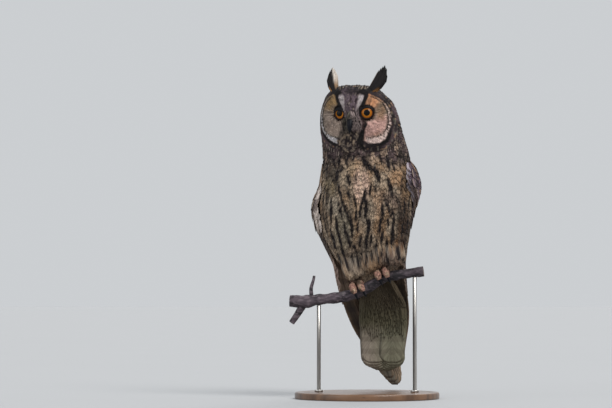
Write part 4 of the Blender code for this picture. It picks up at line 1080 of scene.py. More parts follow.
def streaked(group, count, rng):
    """The group in the body's colours: the ground, finely streaked along the feathers, with the bold streaks
    over it."""
    points = group["rings"]
    along_it = points * (1, 1, 0.22)
    tone = body_colour(points) * (0.7 + 0.56 * mottle(along_it, 0.0024, 11))[..., None]
    thin = ramp(mottle(along_it, 0.003, 12), 0.66, 0.8) * ramp(mottle(points, 0.02, 13), 0.2, 0.6)
    calm = ramp(np.hypot(points[..., 0] + 0.004, points[..., 2] - 0.262), 0.03, 0.014)
    tone = mix(tone, DARK * 2, (0.55 - 0.45 * calm) * thin)
    shade = own_shade(group, count, rng, 0.86, 1.1)
    tone = mix(tone * shade, DARK, streak_field(points))
    mark = marks(count, rng, rng.uniform(0.0, 0.05, count), edge=rng.uniform(0, 0.3, count))
    return painted(group, count, tone, mark)


BODY_LOW, BODY_HIGH, BODY_ROWS, BODY_APART = 0.1425, 0.318, 0.0042, 0.0043
rng = np.random.default_rng(1)
roots = coat_roots(BODY_LOW, BODY_HIGH, BODY_ROWS, BODY_APART, 2)
height = roots[:, 2]
length = (0.028 - 0.011 * ramp(height, 0.285, 0.32)) * rng.uniform(0.8, 1.15, len(roots))
length *= 1 - 0.45 * ramp(height, 0.16, 0.142)
width = (0.0098 - 0.0025 * ramp(height, 0.285, 0.32)) * rng.uniform(0.85, 1.15, len(roots))
trail, out = coat_trails(roots, down_flow, length, coat_depth(roots) + 0.0004,
    rng.uniform(-0.0002, 0.0003, len(roots)))
BODY_LOCKS, BELLY_TOP = 5, 0.232
coat = fans(trail, out, width, BODY_LOCKS, 3, unwrap(roots), ragged=0.09, ridge=0.0001, droop=0.22, full=1.85)
coat = streaked(coat, len(roots), rng)
_, forward = owl_place(roots)
regions = {
    "breast_feathers": (forward > 0) & (height > BELLY_TOP),
    "belly_feathers": (forward > 0) & (height <= BELLY_TOP),
    "mantle_feathers": forward <= 0,
}
for name, chosen in regions.items():
    part = {key: value[chosen.repeat(BODY_LOCKS)] for key, value in coat.items()}
    make_piece(name, [part], coat_finish)

# The belly's long lower feathers hang over the legs, down to just above the branch.
HANG_LEFT, HANG_RIGHT, HANG_COUNT, HANG_CLEAR = -0.029, 0.046, 300, 0.0075
rng = np.random.default_rng(7)
layer = rng.random(HANG_COUNT)
share = (np.arange(HANG_COUNT) + rng.uniform(-0.5, 0.5, HANG_COUNT)) / HANG_COUNT
x = HANG_LEFT + share * (HANG_RIGHT - HANG_LEFT)
under = along(BRANCH, x)
clear = HANG_CLEAR + 0.002 * ramp(x, 0.008, -0.004)
low = np.minimum(under[:, 2] + under[:, 3] + clear, 0.163) + 0.007 * layer * rng.random(HANG_COUNT)
top = np.maximum(low + 0.02, 0.172) + 0.01 * layer
start, _ = front_point(x - form_rows(top)[:, 0], top)
end = joined(x * 0.96 + 0.0004 + 0.006 * ramp(x, -0.008, -0.029), -under[:, 1] - 0.0098 - 0.0025 * layer, low)
bend = joined(x, np.minimum(start[:, 1], end[:, 1]) - 0.0005, (top + low) / 2)
share = np.linspace(0, 1, 7)[:, None]
start, bend, end = start[:, None] + (0, 0.006, 0), bend[:, None], end[:, None]
trail = (1 - share) ** 2 * start + 2 * share * (1 - share) * bend + share**2 * end
out = unit(joined(8 * (x - 0.006), -1, 0.15))[:, None] + 0 * trail
bake = np.column_stack([1.5 + x * 3, top * 3])
group = fans(trail, unit(out), rng.uniform(0.0052, 0.007, HANG_COUNT), BODY_LOCKS, 8, bake, ridge=0.00014,
    droop=0.3)
group = streaked(group, HANG_COUNT, rng)
clouds = 0.55 + 0.45 * mottle(group["rings"], 0.005, 15)[..., None]
group["Ground"] = group["Ground"] * as_colour(clouds * np.ones(3))
make_piece("belly_fringe", [group], coat_finish)


# HEAD: CROWN, NAPE AND CHEEKS
# The smallest body feathers, dark with buff and grey edges, in close rows from the brow over the crown to the
# nape and down the cheeks.
HEAD_TURN = math.radians(18)  # as at the head's stations
FACE_LEFT = np.array([math.cos(HEAD_TURN), -math.sin(HEAD_TURN), 0.0])  # to the owl's left across its face
UP = np.array([0, 0, 1.0])
HEAD_LOW, HEAD_ROWS, HEAD_APART = 0.312, 0.0028, 0.003


def head_flow(points):
    """The lie of the head's feathers: back over the crown, turning down on the nape and cheeks."""
    over = ramp(points[..., 2], 0.352, 0.38)
    back = np.array([math.sin(HEAD_TURN), math.cos(HEAD_TURN), 0.0])
    return over[..., None] * back + (1 - over[..., None]) * np.array([0.0, 0.1, -1.0])


def face_mask(across, height):
    """Below 1 on the two dishes and the brows between them."""
    dish = np.hypot(np.abs(across) - DISC_ACROSS, height - FACE_HEIGHT) / DISC_RADIUS
    between = np.hypot(across / 0.017, (height - 0.35) / 0.036)
    return np.minimum(dish, between)


def head_colour(points):
    """Crown and nape: dark, broken by buff, with a dark band behind the disc."""
    fine, patches = mottle(points, 0.0042, 31), mottle(points, 0.012, 32)
    tone = mix(DARK * 1.4, PLUM * 1.4, ramp(patches, 0.25, 0.7))
    tone = mix(tone, GREY * 0.8, 0.7 * ramp(fine, 0.62, 0.85))
    tone = mix(tone, BUFF, 0.65 * ramp(mottle(points, 0.0038, 33), 0.7, 0.88))
    return tone * (1 - 0.55 * ramp(points[..., 2], 0.364, 0.378))[..., None]


roots = coat_roots(HEAD_LOW, FORM_HEIGHTS[-1], HEAD_ROWS, HEAD_APART, 41)
across, forward = owl_place(roots)
on_face = (face_mask(across, roots[:, 2]) < 1.1) & (forward > 0.004) & (roots[:, 2] < 0.3855)
roots = roots[~on_face]
rng = np.random.default_rng(42)
length = rng.uniform(0.0085, 0.011, len(roots)) + 0.004 * ramp(roots[:, 2], 0.35, 0.32)
rise = rng.uniform(0.0, 0.0004, len(roots))
rise -= rng.uniform(0, 0.0018, len(roots)) * ramp(roots[:, 2], 0.372, 0.384)
trail, out = coat_trails(roots, head_flow, length, COAT_HEAD + 0.0003, rise, 5)
group = fans(trail, out, rng.uniform(0.0042, 0.0054, len(roots)), 3, 43, unwrap(roots))
low_cheek = ramp(roots[:, 2], 0.338, 0.318)
tone = mix(head_colour(trail[:, -2]), body_colour(trail[:, -2]), low_cheek)
mark = marks(len(roots), rng, 0.12, edge=rng.uniform(0.1, 0.7, len(roots)))
painted(group, len(roots), tone * rng.uniform(0.75, 1.25, (len(roots), 1)), mark)
make_piece("head_feathers", [group], coat_finish)


# FACE
# Fine, open filaments radiate from each eye over the dishes: tawny above, grey-brown outside and paler below.
# Pale brows stand up from the bill in a V between two black bands, and bristles fall over the bill's sides.

# In mm: height, then the pale brow's middle and half width on the owl's right, and on its left.
BROW = np.array(
    [
        (376, 10.5, 3.4, 15, 3.2), (372, 11.2, 4.2, 14, 4), (368, 11.4, 3.6, 12.4, 3.4),
        (363, 11, 2.6, 9.9, 2.5), (358, 10.3, 1.8, 8.4, 2.2), (350, 7.8, 1.6, 6, 2.8), (340, 6, 1.4, 5.6, 3),
    ]
) * MM
# In mm: height, then the black band's middle and half width on the right, and on the left.
BAND = np.array(
    [
        (389, 27.5, 5, 24.5, 5), (382, 20, 6.5, 21.5, 6.5), (378, 15, 6.2, 17.5, 7),
        (374, 17.2, 1.8, 20.6, 2.4), (368.5, 17.4, 1.6, 18, 2.2), (363, 15.4, 2.6, 14.5, 2.6),
        (358, 14, 2.8, 11.4, 2.2), (352, 11.2, 1, 10.6, 1.8), (345, 11.8, 0.8, 12.2, 1.6),
        (339.5, 14.8, 2, 15.2, 2.8), (330, 15, 2.6, 11.6, 2.2), (320, 10, 1.6, 4.6, 3.8),
        (311, 6, 1, 2.6, 3.2),
    ]
) * MM
# Degrees below level, inner and outer reach of the pale ring in disc radii, its paleness.
RING = np.array(
    [
        (-66, 0.945, 0.975, 0.05), (-40, 0.95, 0.985, 0.3), (-15, 0.915, 0.985, 0.7), (0, 0.905, 0.975, 0.8),
        (30, 0.915, 0.99, 0.9), (50, 0.86, 1.03, 1), (66, 0.8, 1.01, 1), (88, 0.76, 0.93, 0.9),
        (100, 0.8, 0.86, 0),
    ]
)
EYE_SEEN = {"right": 0.0168, "left": 0.0187}  # how far each eye's opening lies from the face's middle


def curve(table, at, column):
    """A column of the table at values of its first column, which runs down or up."""
    table = table[np.argsort(table[:, 0])]
    return np.interp(at, table[:, 0], table[:, column])


def sided(table, across, height, column):
    """A column of a two-sided table at heights: this one on the owl's right, and the second after it on its
    left."""
    return np.where(across < 0, curve(table, height, column), curve(table, height, column + 2))


def from_eye(across, height):
    """Distance from the nearer eye's middle, stretched across the narrower one."""
    from_middle = np.where(across < 0, (-across - EYE_SEEN["right"]) / OPENING["right"],
        across - EYE_SEEN["left"])
    return np.hypot(from_middle, height - EYE_HEIGHT)


def face_colour(points):
    """The face's markings by place: dishes, black rims, eye rings, bands, pale brows and the dark wedge
    above. The owl's left half is brighter and pinker than its right, partly as painted light and shade."""
    across, height = owl_place(points)[0], points[..., 2]
    a = np.abs(across)
    # left is 1 on the owl's left half. There the tawny, mid, pale, bright and side colours are brighter and
    # pinker than on the right: partly the face's own colours, partly painted light on the owl's left and
    # painted shade on its right.
    left = ramp(across, -0.004, 0.004)
    r = np.hypot(a - DISC_ACROSS, height - FACE_HEIGHT) / DISC_RADIUS
    down = np.arctan2(FACE_HEIGHT - height, a - DISC_ACROSS)
    fine, finer, coarse = mottle(points, 0.003, 51), mottle(points, 0.0013, 52), mottle(points, 0.008, 55)
    around = np.arctan2(height - EYE_HEIGHT, a - EYE_ACROSS)
    rays = mottle(joined(around * 9, from_eye(across, height) * 110, left * 5), 1.0, 56)
    tawny = mix((0.27, 0.175, 0.085), (1.12, 0.52, 0.26), left)
    mid = mix((0.24, 0.19, 0.155), (0.265, 0.19, 0.13), left)
    pale = mix((0.38, 0.3, 0.25), (0.545, 0.34, 0.3), left)
    sunk = (EYE_HEIGHT - height) / 0.014 + 1.2 * (coarse - 0.5) + 0.8 * (rays - 0.5)
    tone = mix(tawny, mid, ramp(down + 0.5 * (coarse - 0.5) - 0.25 * (1 - left), -1.15, -0.45))
    tone = mix(tone, mid * 0.75, 0.6 * ramp(coarse, 0.45, 0.8))
    tone = mix(tone, pale, ramp(sunk, 0.0, 1.15))
    tone = mix(tone, (0.34, 0.175, 0.095), 0.45 * left * ramp(mottle(points, 0.0065, 58), 0.55, 0.8))
    tone = tone * (0.74 + 0.52 * rays)[..., None]
    tone = mix(tone, UMBER * 1.3, 0.45 * ramp(fine, 0.5, 0.9) * (1 - 0.4 * ramp(down, 0.2, 0.8)))
    eye = from_eye(across, height)
    near_eye = ramp(eye, 0.013, 0.0088)
    tone = mix(tone, mix(UMBER * 1.2, GREY * (0.8, 0.8, 0.9), fine), 0.75 * near_eye)
    rim = 0.0074 + 0.002 * np.clip((height - EYE_HEIGHT + 0.004) / 0.01, 0, 1) + 0.0008 * (fine - 0.5)
    tone = mix(tone, DARK * 0.5, ramp(eye - rim, 0.001, 0))
    degrees = np.degrees(down)
    inner, outer, strength = (curve(RING, degrees, k) for k in (1, 2, 3))
    edge = r + 0.022 * (finer - 0.5) + 0.015 * (fine - 0.5)
    tone = mix(tone, GREY * 1.2, 0.4 * ramp(edge, inner - 0.12, inner - 0.05) * strength)
    line = ramp(edge, inner - 0.05, inner - 0.038) * ramp(edge, inner + 0.006, inner - 0.008)
    dotted = 1 - ramp(degrees, 15, 40) * ramp(finer, 0.5, 0.4)
    tone = mix(tone, DARK * 0.6, line * dotted * ramp(degrees, -80, -60))
    # The pale ring is brighter on the owl's left, partly as painted light.
    bright = mix((0.56, 0.54, 0.56), (0.78, 0.62, 0.57), left)
    dark_specks = ramp(finer, 0.54, 0.64) * (1 - 0.65 * ramp(degrees, 35, 65))
    speckled = mix(bright * (0.75 + 0.5 * fine)[..., None], DARK, dark_specks)
    ring = ramp(edge, inner - 0.005, inner + 0.01) * ramp(edge, outer + 0.01, outer - 0.01)
    tone = mix(tone, speckled, ring * strength)
    beyond = ramp(edge, outer - 0.01, outer + 0.012)
    rim_dark = 0.45 + 0.55 * ramp(degrees, 5, 35) * ramp(degrees, 100, 88)
    thick = outer + 0.04 + 0.05 * ramp(degrees, 10, 45)
    outside = mix(DARK * 0.7, head_colour(points), ramp(edge, thick, thick + 0.05))
    outside = mix(head_colour(points), outside, rim_dark)
    tone = mix(tone, outside, beyond)

    # the forehead's wedge, the bill's sides and the chin
    band, band_half = sided(BAND, across, height, 1), sided(BAND, across, height, 2)
    wedge = mix((0.15, 0.108, 0.135), (0.042, 0.027, 0.034), ramp(fine, 0.42, 0.75))
    wedge = mix(wedge, GREY * (1.4, 1.3, 1.4), 0.7 * ramp(finer, 0.55, 0.8))
    # The bill's sides are paler and pinker on the owl's left, partly as painted light.
    side = mix((0.095, 0.085, 0.06), (0.225, 0.165, 0.16), left)
    side = mix(side, DARK * 1.6, (0.8 - 0.58 * left) * ramp(finer + 0.3 * (fine - 0.5), 0.42, 0.62))
    inside = mix(side, wedge, ramp(height, 0.346, 0.356))
    inside = mix(inside, DARK, 0.75 * ramp(height, 0.3745, 0.3785) * ramp(coarse + fine, 0.6, 1.0))
    inside = inside * (1 - 0.4 * ramp(height, 0.367, 0.376))[..., None]
    tone = mix(tone, inside, ramp(a, band + 0.0004, band - 0.0012))
    chin_edge = np.where(
        across < 0,
        np.interp(height, [0.311, 0.32, 0.33, 0.337], [0.0275, 0.025, 0.019, 0.015]),
        np.interp(height, [0.311, 0.32, 0.33, 0.337], [0.007, 0.009, 0.011, 0.0115]),
    )
    chin = ramp(a + 0.003 * (fine - 0.5), chin_edge + 0.002, chin_edge - 0.001)
    chin_tone = mix(DARK * 2.0, (0.165, 0.13, 0.105), ramp(fine, 0.45, 0.7))
    chin_tone = mix(chin_tone, CREAM * 0.7, 0.7 * ramp(mottle(points, 0.0035, 57), 0.7, 0.82))
    tone = mix(tone, chin_tone, chin * ramp(height, 0.335, 0.326))

    brow, half = sided(BROW, across, height, 1), sided(BROW, across, height, 2)
    on_brow = ramp(np.abs(a - brow) + 0.0014 * (finer - 0.5), half * 1.15, half * 0.65)
    on_brow = on_brow * ramp(height, 0.338, 0.344) * ramp(height, 0.3765, 0.3725)
    white = mix((0.235, 0.185, 0.19), (0.52, 0.47, 0.48), ramp(height, 0.352, 0.366))
    white = mix(white, white * 0.45, 0.8 * ramp(fine, 0.45, 0.85))
    tone = mix(tone, white, on_brow)
    in_band = ramp(np.abs(a - band) + 0.0012 * (fine - 0.5), band_half * 1.25 + 0.0003, band_half * 0.75)
    low = ramp(height, 0.35, 0.342) * ramp(across, 0.004, -0.004)
    brown = left * ramp(height, 0.328, 0.336) * ramp(height, 0.35, 0.346)
    black = mix(DARK * 0.5, (0.06, 0.033, 0.03), 0.9 * brown * ramp(fine, 0.3, 0.6))
    return mix(tone, black, in_band * (1 - 0.6 * low))


def face_way(across, height):
    """The lie of the face's filaments, as (across, up): out from each eye on the dishes, up and out on the
    brow and the wedge between them, and down beside the bill."""
    a, sign = np.abs(across), np.where(across < 0, -1.0, 1.0)
    out = unit(joined(a - np.where(across < 0, EYE_SEEN["right"], EYE_SEEN["left"]), height - EYE_HEIGHT))
    up, down = np.array([0.25, 1]), np.array([0.35, -1])
    band = sided(BAND, across, height, 1)
    middle = ramp(a, band + 0.001, band - 0.002)[..., None]
    low = ramp(height, 0.346, 0.338)[..., None]
    way = unit((1 - middle) * out + middle * ((1 - low) * up + low * down))
    return way * joined(sign, 1)


rng = np.random.default_rng(53)
step = 0.00135
grid = joined(*np.meshgrid(np.arange(-0.047, 0.047, step), np.arange(0.311, 0.384, step * 1.2)))
grid[1::2, :, 0] += step / 2
grid = grid.reshape(-1, 2) + rng.uniform(-0.35, 0.35, (grid.size // 2, 2)) * step
across, height = grid.T
clear_eye = from_eye(across, height) > 0.0082
clear_bill = (np.abs(across) > 0.0042) | (height > 0.3475) | (height < 0.3275)
keep = (face_mask(across, height) < 1.06) & clear_eye & clear_bill
across, height = across[keep], height[keep]
roots, _ = front_point(across, height)
way = face_way(across, height)
toward = way[:, :1] * FACE_LEFT + way[:, 1:] * UP
band_near = np.abs(across) < sided(BAND, across, height, 1)
length = np.where(band_near, rng.uniform(0.004, 0.0055, len(roots)), rng.uniform(0.0065, 0.009, len(roots)))
width = np.where(band_near, 0.0016, 0.0019)
over_ball = ramp(from_eye(across, height), 0.0125, 0.0085) * (across < 0)
rooted = 0.0014 - 0.0024 * over_ball
trail, out = coat_trails(roots, lambda points: toward, length, rooted,
    rng.uniform(-0.0006, 0.0004, len(roots)), 4)
group = fans(trail, out, width, 2, 54, unwrap(roots), ragged=0.25, ridge=0.00012)
shade = own_shade(group, len(roots), rng, 0.8, 1.18)
painted(group, len(roots), face_colour(group["rings"]) * shade, marks(len(roots), rng))
make_piece("face_filaments", [group], coat_finish)


# RUFF
# Short stiff feathers stand in close rows round each dish, and carry its edge: a thin black line, a pale ring
# speckled black, and a dark line that runs into the brown of the neck.
RUFF_ROWS = (0.9, 0.95, 1.0, 1.05, 1.1, 1.15)  # where the rows' roots stand, in disc radii
ruffs = []
for k, reach in enumerate(RUFF_ROWS):
    for sign in (1.0, -1.0):
        rng = np.random.default_rng(60 + k)
        count = int(210 * reach)
        turn = np.radians(np.linspace(74, -100, count)) + rng.uniform(-0.01, 0.01, count)
        across = sign * (DISC_ACROSS + DISC_RADIUS * reach * np.cos(turn))
        height = FACE_HEIGHT + DISC_RADIUS * reach * np.sin(turn)
        limit = np.sqrt(np.maximum(form_rows(height)[:, 2], 0)) * 0.995
        roots, _ = front_point(np.clip(across, -limit, limit), height)
        sway = rng.uniform(-0.2, 0.2, count)
        flat = sign * np.cos(turn + sway)[:, None] * FACE_LEFT
        toward = flat + np.sin(turn + sway)[:, None] * UP + np.array([0, 0.5, -0.15])
        length = rng.uniform(0.0042, 0.0056, count)
        rise = -0.0003 - 0.0007 * np.exp(-(((reach - 0.97) / 0.06) ** 2)) + 0 * length
        trail, out = coat_trails(roots, lambda points: toward, length, 0.0014, rise, 4)
        group = fans(trail, out, 0.0019, 2, 70 + k, unwrap(roots), ragged=0.2, ridge=0.00015)
        mark = marks(count, rng)
        shade = own_shade(group, count, rng, 0.8, 1.15)
        ruffs.append(painted(group, count, face_colour(group["rings"]) * shade, mark))
make_piece("ruff_feathers", ruffs, coat_finish)


# BRISTLES
# Long fine bristles, grey and white with black ones among them, fall forward from the brows over the bill's
# sides and hide its upper half.
bristles = []
for sign in (1.0, -1.0):
    rng = np.random.default_rng(77)
    count = 240
    height = rng.uniform(0.339, 0.355, count)
    spread = np.interp(height, [0.338, 0.355], [0.0095, 0.0045])
    across = sign * (0.0003 + rng.uniform(0, 1, count) ** 1.4 * spread)
    roots, _ = front_point(across, height)
    sway = np.abs(across) / 0.006 * 0.45 + rng.uniform(-0.12, 0.2, count)
    toward = sign * sway[:, None] * FACE_LEFT + np.array([0, -0.25, -1.0])
    length = rng.uniform(0.0075, 0.012, count)
    lift = -0.001 - 0.0048 * np.exp(-((np.abs(across) / 0.004) ** 2))
    trail, out = coat_trails(roots, lambda points: toward, length, 0.001, lift, 5)
    group = fans(trail, out, 0.0012, 2, 78, unwrap(roots), ragged=0.3, ridge=0.0001)
    pale = rng.random(count)[:, None]
    # The owl's left bristles are paler and pinker than its right ones, and fewer are black: partly their own
    # colour, partly painted light on that side.
    tone = np.array([0.25, 0.2, 0.195]) if sign > 0 else np.array([0.15, 0.135, 0.11])
    tone = np.where(pale < (0.22 if sign > 0 else 0.4), DARK, tone * (0.45 + 0.8 * rng.random((count, 1))))
    bristles.append(painted(group, count, tone, marks(count, rng)))
make_piece("bill_bristles", bristles, coat_finish)


# EAR TUFTS
# A bundle of long narrow black feathers over each brow, raised and leaning out, edged with white on the inner
# side and with ochre at the outer base. They share one root under the crown.
TUFT_BASE = {"left": (0.0245, 0.0175, 0.381), "right": (0.0234, 0.0175, 0.381)}
TUFT_TIP = {"left": (0.0372, -0.001, 0.4138), "right": (0.0306, -0.001, 0.4138)}
TUFT_ROW, TUFT_COUNT, TUFT_WIDTH = 0.375, 40, {"left": 0.015, "right": 0.0125}
TUFT_BEND = {"left": 0.0034, "right": 0.0024}
tuft_finish = feather_finish("tuft_plumes")


def tuft_profile(up):
    """Half width of the bundle at shares of its height, for a widest place of 1."""
    return 0.38 + 0.62 * np.sin(up * 2.75) + 0.17 * (1 - up) ** 2


def over_crown(across, forward, height):
    """A world point from distances across and forward of the middle under the tufts."""
    row = form_rows(TUFT_ROW)
    return from_middle(row[0], row[1], np.radians(row[4]), across, forward, height)


for word, sign in SIDES.items():
    rng = np.random.default_rng(81)
    low, high = (over_crown(sign * x, y, z) for x, y, z in (TUFT_BASE[word], TUFT_TIP[word]))
    tuft_wide = TUFT_WIDTH[word]
    axis = high - low
    reach = np.linalg.norm(axis)
    axis = axis / reach
    across = FACE_LEFT
    across = unit(across - axis * (across @ axis))
    outward = np.cross(axis, across)
    outward = outward * (1 if outward[1] < 0 else -1)
    count = TUFT_COUNT
    place = rng.uniform(-0.5, 0.5, count)
    place[:9] = np.linspace(-0.5, 0.5, 9)
    sheet = rng.permutation(np.linspace(-0.0024, 0.0024, count))
    long = reach * (1 - 0.42 * np.maximum(np.abs(place) * 2 - 0.2, 0) * rng.uniform(0.6, 1, count))
    steps = np.linspace(-0.16, 1, 8)
    grown = np.clip(steps, 0, 1)[None, :, None]
    bow = tuft_profile(grown) * place[:, None, None] * tuft_wide * 0.72
    bow = bow + sign * TUFT_BEND[word] * np.sin(grown * math.pi)
    run = (steps[None, :] * long[:, None])[..., None]
    trail = low + outward * sheet[:, None, None] + axis * run + across * bow
    group = fans(trail, np.broadcast_to(outward, trail.shape), 0.004, 3, 82,
        place[:, None] * [0.01, 0.1] + [0.9, 0.9], ragged=0.05, fringe=0.1)
    points = group["rings"]
    side = (points - low) @ across * sign / tuft_wide
    up = (points - low) @ axis / reach
    pale = ramp(-side + 0.3 * (up - 0.45), -0.06, 0.08) if sign < 0 else ramp(-side, 0.22, 0.32)
    pale = pale * ramp(up, 0.1, 0.26)
    tone = mix(DARK * 0.45, mix(BUFF, WHITE, ramp(up, 0.2, 0.6)), 0.9 * pale)
    edge = side / (0.36 * tuft_profile(np.clip(up, 0, 1)) + 0.12)
    ochre = ramp(edge, 0.62, 0.78) * ramp(up, 0.18, 0.02)
    tone = mix(tone, OCHRE * 1.2, ochre)
    painted(group, count, tone, marks(count, rng))
    make_piece(f"ear_tuft_{word}_plumes", [group], tuft_finish, [f"ear_tuft_{word}"])


# LEGS AND TOES
# Legs and toes are feathered to the claws with short, close, hair-like feathers, pinkish buff.
def tube_feathers(line, radii, rows_apart, apart, length, width, inset, seed):
    """Fans on a tube: roots in staggered rings along it, each trail running on along the tube and out to its
    reach."""
    rng = np.random.default_rng(seed)
    run = run_along(line)
    side, up = line_frame(line)
    starts, turns = [], []
    for k, at in enumerate(np.arange(-0.2 * length, run[-1] - 0.35 * length, rows_apart)):
        around = 2 * math.pi * np.interp(at, run, radii)
        count = max(6, round(around / apart))
        starts.append(np.full(count, at) + rng.uniform(-0.3, 0.3, count) * rows_apart)
        turns.append((np.arange(count) + 0.5 * (k % 2) + rng.uniform(-0.3, 0.3, count)) / count * 2 * math.pi)
    starts, turns = np.concatenate(starts), np.concatenate(turns)
    share = np.linspace(0, 1, 5)
    at = np.clip(starts[:, None] + share * length, 0, run[-1] * 1.02)
    spread = [joined(*(np.interp(at, run, v[:, k]) for k in range(3))) for v in (line, side, up)]
    outward = unit(np.cos(turns)[:, None, None] * spread[1] + np.sin(turns)[:, None, None] * spread[2])
    loose = rng.uniform(-0.0002, 0.001, (len(starts), 1)) * share**2
    reach = np.interp(at, run, radii) - inset * (1 - share) + loose
    trail = spread[0] + outward * reach[..., None]
    group = fans(trail, outward, width, 2, seed + 1, np.column_stack([turns / 40, starts * 4]))
    return group, len(starts), rng


foot_finish = feather_finish("foot_feathers")
for word in SIDES:
    groups = []
    line, radii = leg_line(word)
    parts = [(line[::-1], radii[::-1] + 0.0006, 0.0026, 0.0026, 0.011, 0.0032, LEG_SKIN)]
    for toe in TOES:
        parts.append((*toe_line(word, toe), 0.0018, 0.0017, 0.0062, 0.0021, TOE_SKIN))
    for k, part in enumerate(parts):
        group, count, rng = tube_feathers(*part, 90 + 2 * k)
        points = group["rings"]
        tone = mix((0.42, 0.235, 0.185), (0.5, 0.36, 0.25), ramp(mottle(points, 0.005, 95), 0.3, 0.7))
        tone = mix(tone, UMBER * 0.9, 0.85 * ramp(mottle(points, 0.0036, 96), 0.5, 0.68))
        # The leg's feathers (k 0) take half the toes' brightness: painted shade under the belly.
        tone = tone * own_shade(group, count, rng, 0.6, 1.15) * (0.5 if k == 0 else 1.0)
        groups.append(painted(group, count, tone, marks(count, rng)))
    make_piece(f"foot_feathers_{word}", groups, foot_finish)


# WINGS
# Folded wings: ten primaries and twelve secondaries of stiff barred vanes, grey-brown and dusky, over the
# back and flanks, with rows of coverts over their roots. They lie in sheets on a bed that follows the body
# and passes behind the tail. Every vane leans, so that its front edge rides over the one before it.

# Stations of the bed below the body's own, as in the body's table.
WING_BED = np.array(
    [
        (165, 4.8, -21, 43.5, 32, 8), (145, 6.9, -28, 42.5, 28, 8), (116, 11.4, -37, 41.5, 23, 8),
        (92.5, 15.9, -44, 37, 19.5, 8), (72.5, 19.4, -49, 31, 16.5, 8), (47.5, 22.1, -54.5, 24.5, 13.5, 8),
        (12.5, 23.8, -60, 18.5, 11, 8),
    ]
) * (MM, MM, MM, MM, MM, 1)
WING_TABLE = np.concatenate([BODY[7:14], WING_BED])
# The leading edges, in mm: height, and how far forward of the bed's side line.
LOW_LEAD = [(116, -10.4), (92.5, -9.9), (72.5, -9.7), (47.5, -8.6), (12.5, -7.4)]
LEAD_LEFT = [(305, 4), (270, 21), (250, 2), (230, -19), (212, -24), (195, -23), (175, -18), (150, -12)]
LEAD_RIGHT = [(305, -2), (270, 4), (242.5, 8), (220, 1), (200, -7), (180, -8), (150, -8)]
WINGS = {  # side, leading edge, wrist's height and swell, how far the tips pass across and back, lowest tip
    "left": (1.0, np.array(LEAD_LEFT + LOW_LEAD) * MM, 0.262, 0.0, 0.0, 0.0075, 0.03),
    "right": (-1.0, np.array(LEAD_RIGHT + LOW_LEAD) * MM, 0.24, 0.0015, 0.0165, 0.0, 0.0127),
}
WING_TOP, BACK_END, MIDLINE_CLEAR = 0.293, 0.09, 0.002
THIN = {  # shares down the wing, and how much of the sheets' lift is left there
    "left": [(0, 1), (0.1, 1), (0.139, 0.88), (0.161, 0.75), (0.207, 0.46), (0.3, 0.42), (0.36, 0.5),
    (0.5, 0.6), (1, 1)],
    "right": [(0, 0.3), (0.1, 0.27), (0.13, 0.42), (0.151, 0.58), (0.215, 0.82), (0.25, 0.78), (0.4, 0.8),
    (1, 1)],
}
BED_TURNS = np.radians(np.linspace(0, 180, 181))


def bed_section(row, turn):
    """(across, forward) of a bed station's outline at an angle from straight ahead."""
    across, forward = section(turn)
    return row[..., 3] * across, row[..., 4] * forward


def bed_run(row):
    """Distance round a bed station's half outline from its side line, at each of the bed's turns."""
    across, forward = bed_section(row[..., None, :], BED_TURNS)
    run = np.cumsum(np.hypot(np.diff(across), np.diff(forward)), axis=-1)
    run = np.concatenate([np.zeros_like(run[..., :1]), run], axis=-1)
    return run - run[..., 90:91]


def on_bed(word, height, behind, lift):
    """(points, outward directions) on the wing's bed: at heights, distances behind the leading edge, and
    lifts."""
    side, lead, wrist, swell, cross, back, _ = WINGS[word]
    row = along(WING_TABLE, height)
    run = bed_run(row)
    place = behind - along(lead, height)[..., 1]
    k = np.clip((run < place[..., None]).sum(axis=-1), 1, 180)[..., None]
    before, after = np.take_along_axis(run, k - 1, -1)[..., 0], np.take_along_axis(run, k, -1)[..., 0]
    turn = BED_TURNS[k[..., 0] - 1] + np.clip((place - before) / (after - before), 0, 1) * BED_TURNS[1]
    x, f = bed_section(row, turn)
    (xa, fa), (xb, fb) = bed_section(row, turn + 0.01), bed_section(row, turn - 0.01)
    nx, nf = fb - fa, xa - xb
    size = np.hypot(nx, nf)
    nx, nf = nx / size, nf / size
    x = x - np.maximum(0, place - run[..., -1])
    swell = swell * np.exp(-(((height - wrist) / 0.022) ** 2)) * np.maximum(0, nx)
    share_down = (WING_TOP - height) / (WING_TOP - WINGS[word][-1])
    lift = lift * np.interp(share_down, *np.array(THIN[word], float).T) + GAP + np.where(lift > 0, swell, 0)
    x = x + nx * lift - ramp(height, 0.085, 0.018) * cross
    f = f + nf * lift - ramp(height, 0.135, BACK_END) * back
    turned = np.radians(row[..., 5])
    point = from_middle(row[..., 1], row[..., 2], turned, side * x, f, height)
    return point, from_middle(0, 0, turned, side * nx, nf, 0)


# Where a vane has points across, which of them lie on its shaft, and which have its full thickness.
COLUMNS = np.array([0.0, 0.12, 0.28, 0.44, 0.48, 0.52, 0.56, 0.72, 0.88, 1.0])
SHAFT = np.array([0, 0, 0, 0, 1, 1, 0, 0, 0, 0.0])
EDGE = np.array([0, 1, 1, 1, 1, 1, 1, 1, 1, 0.0])


def vane_rings(top, bottom):
    """Closed rings of thin plates from grids of points on their two faces, which share their side edges."""
    rings = np.concatenate([top, bottom[..., -2:0:-1, :]], axis=-2)
    ends = [end.mean(axis=2, keepdims=True).repeat(rings.shape[2], 2)
        for end in (rings[:, :1], rings[:, -1:])]
    return np.concatenate([ends[0], rings, ends[1]], axis=1)


def vane_maps(share):
    """The plates' own map, across and along, laid out to match their rings."""
    u = np.concatenate([COLUMNS, COLUMNS[-2:0:-1]])
    v = np.concatenate([share[:, :1], share, share[:, -1:]], axis=1)
    return joined(u[None, None], v[..., None])


def down_vane(tip):
    """Shares of a vane's length where it has a ring: even, then closer over the tip's own share."""
    return np.concatenate([np.linspace(0, 1 - tip, 20), 1 - tip * np.cos(np.linspace(0.2, 1.52, 8))])[None]


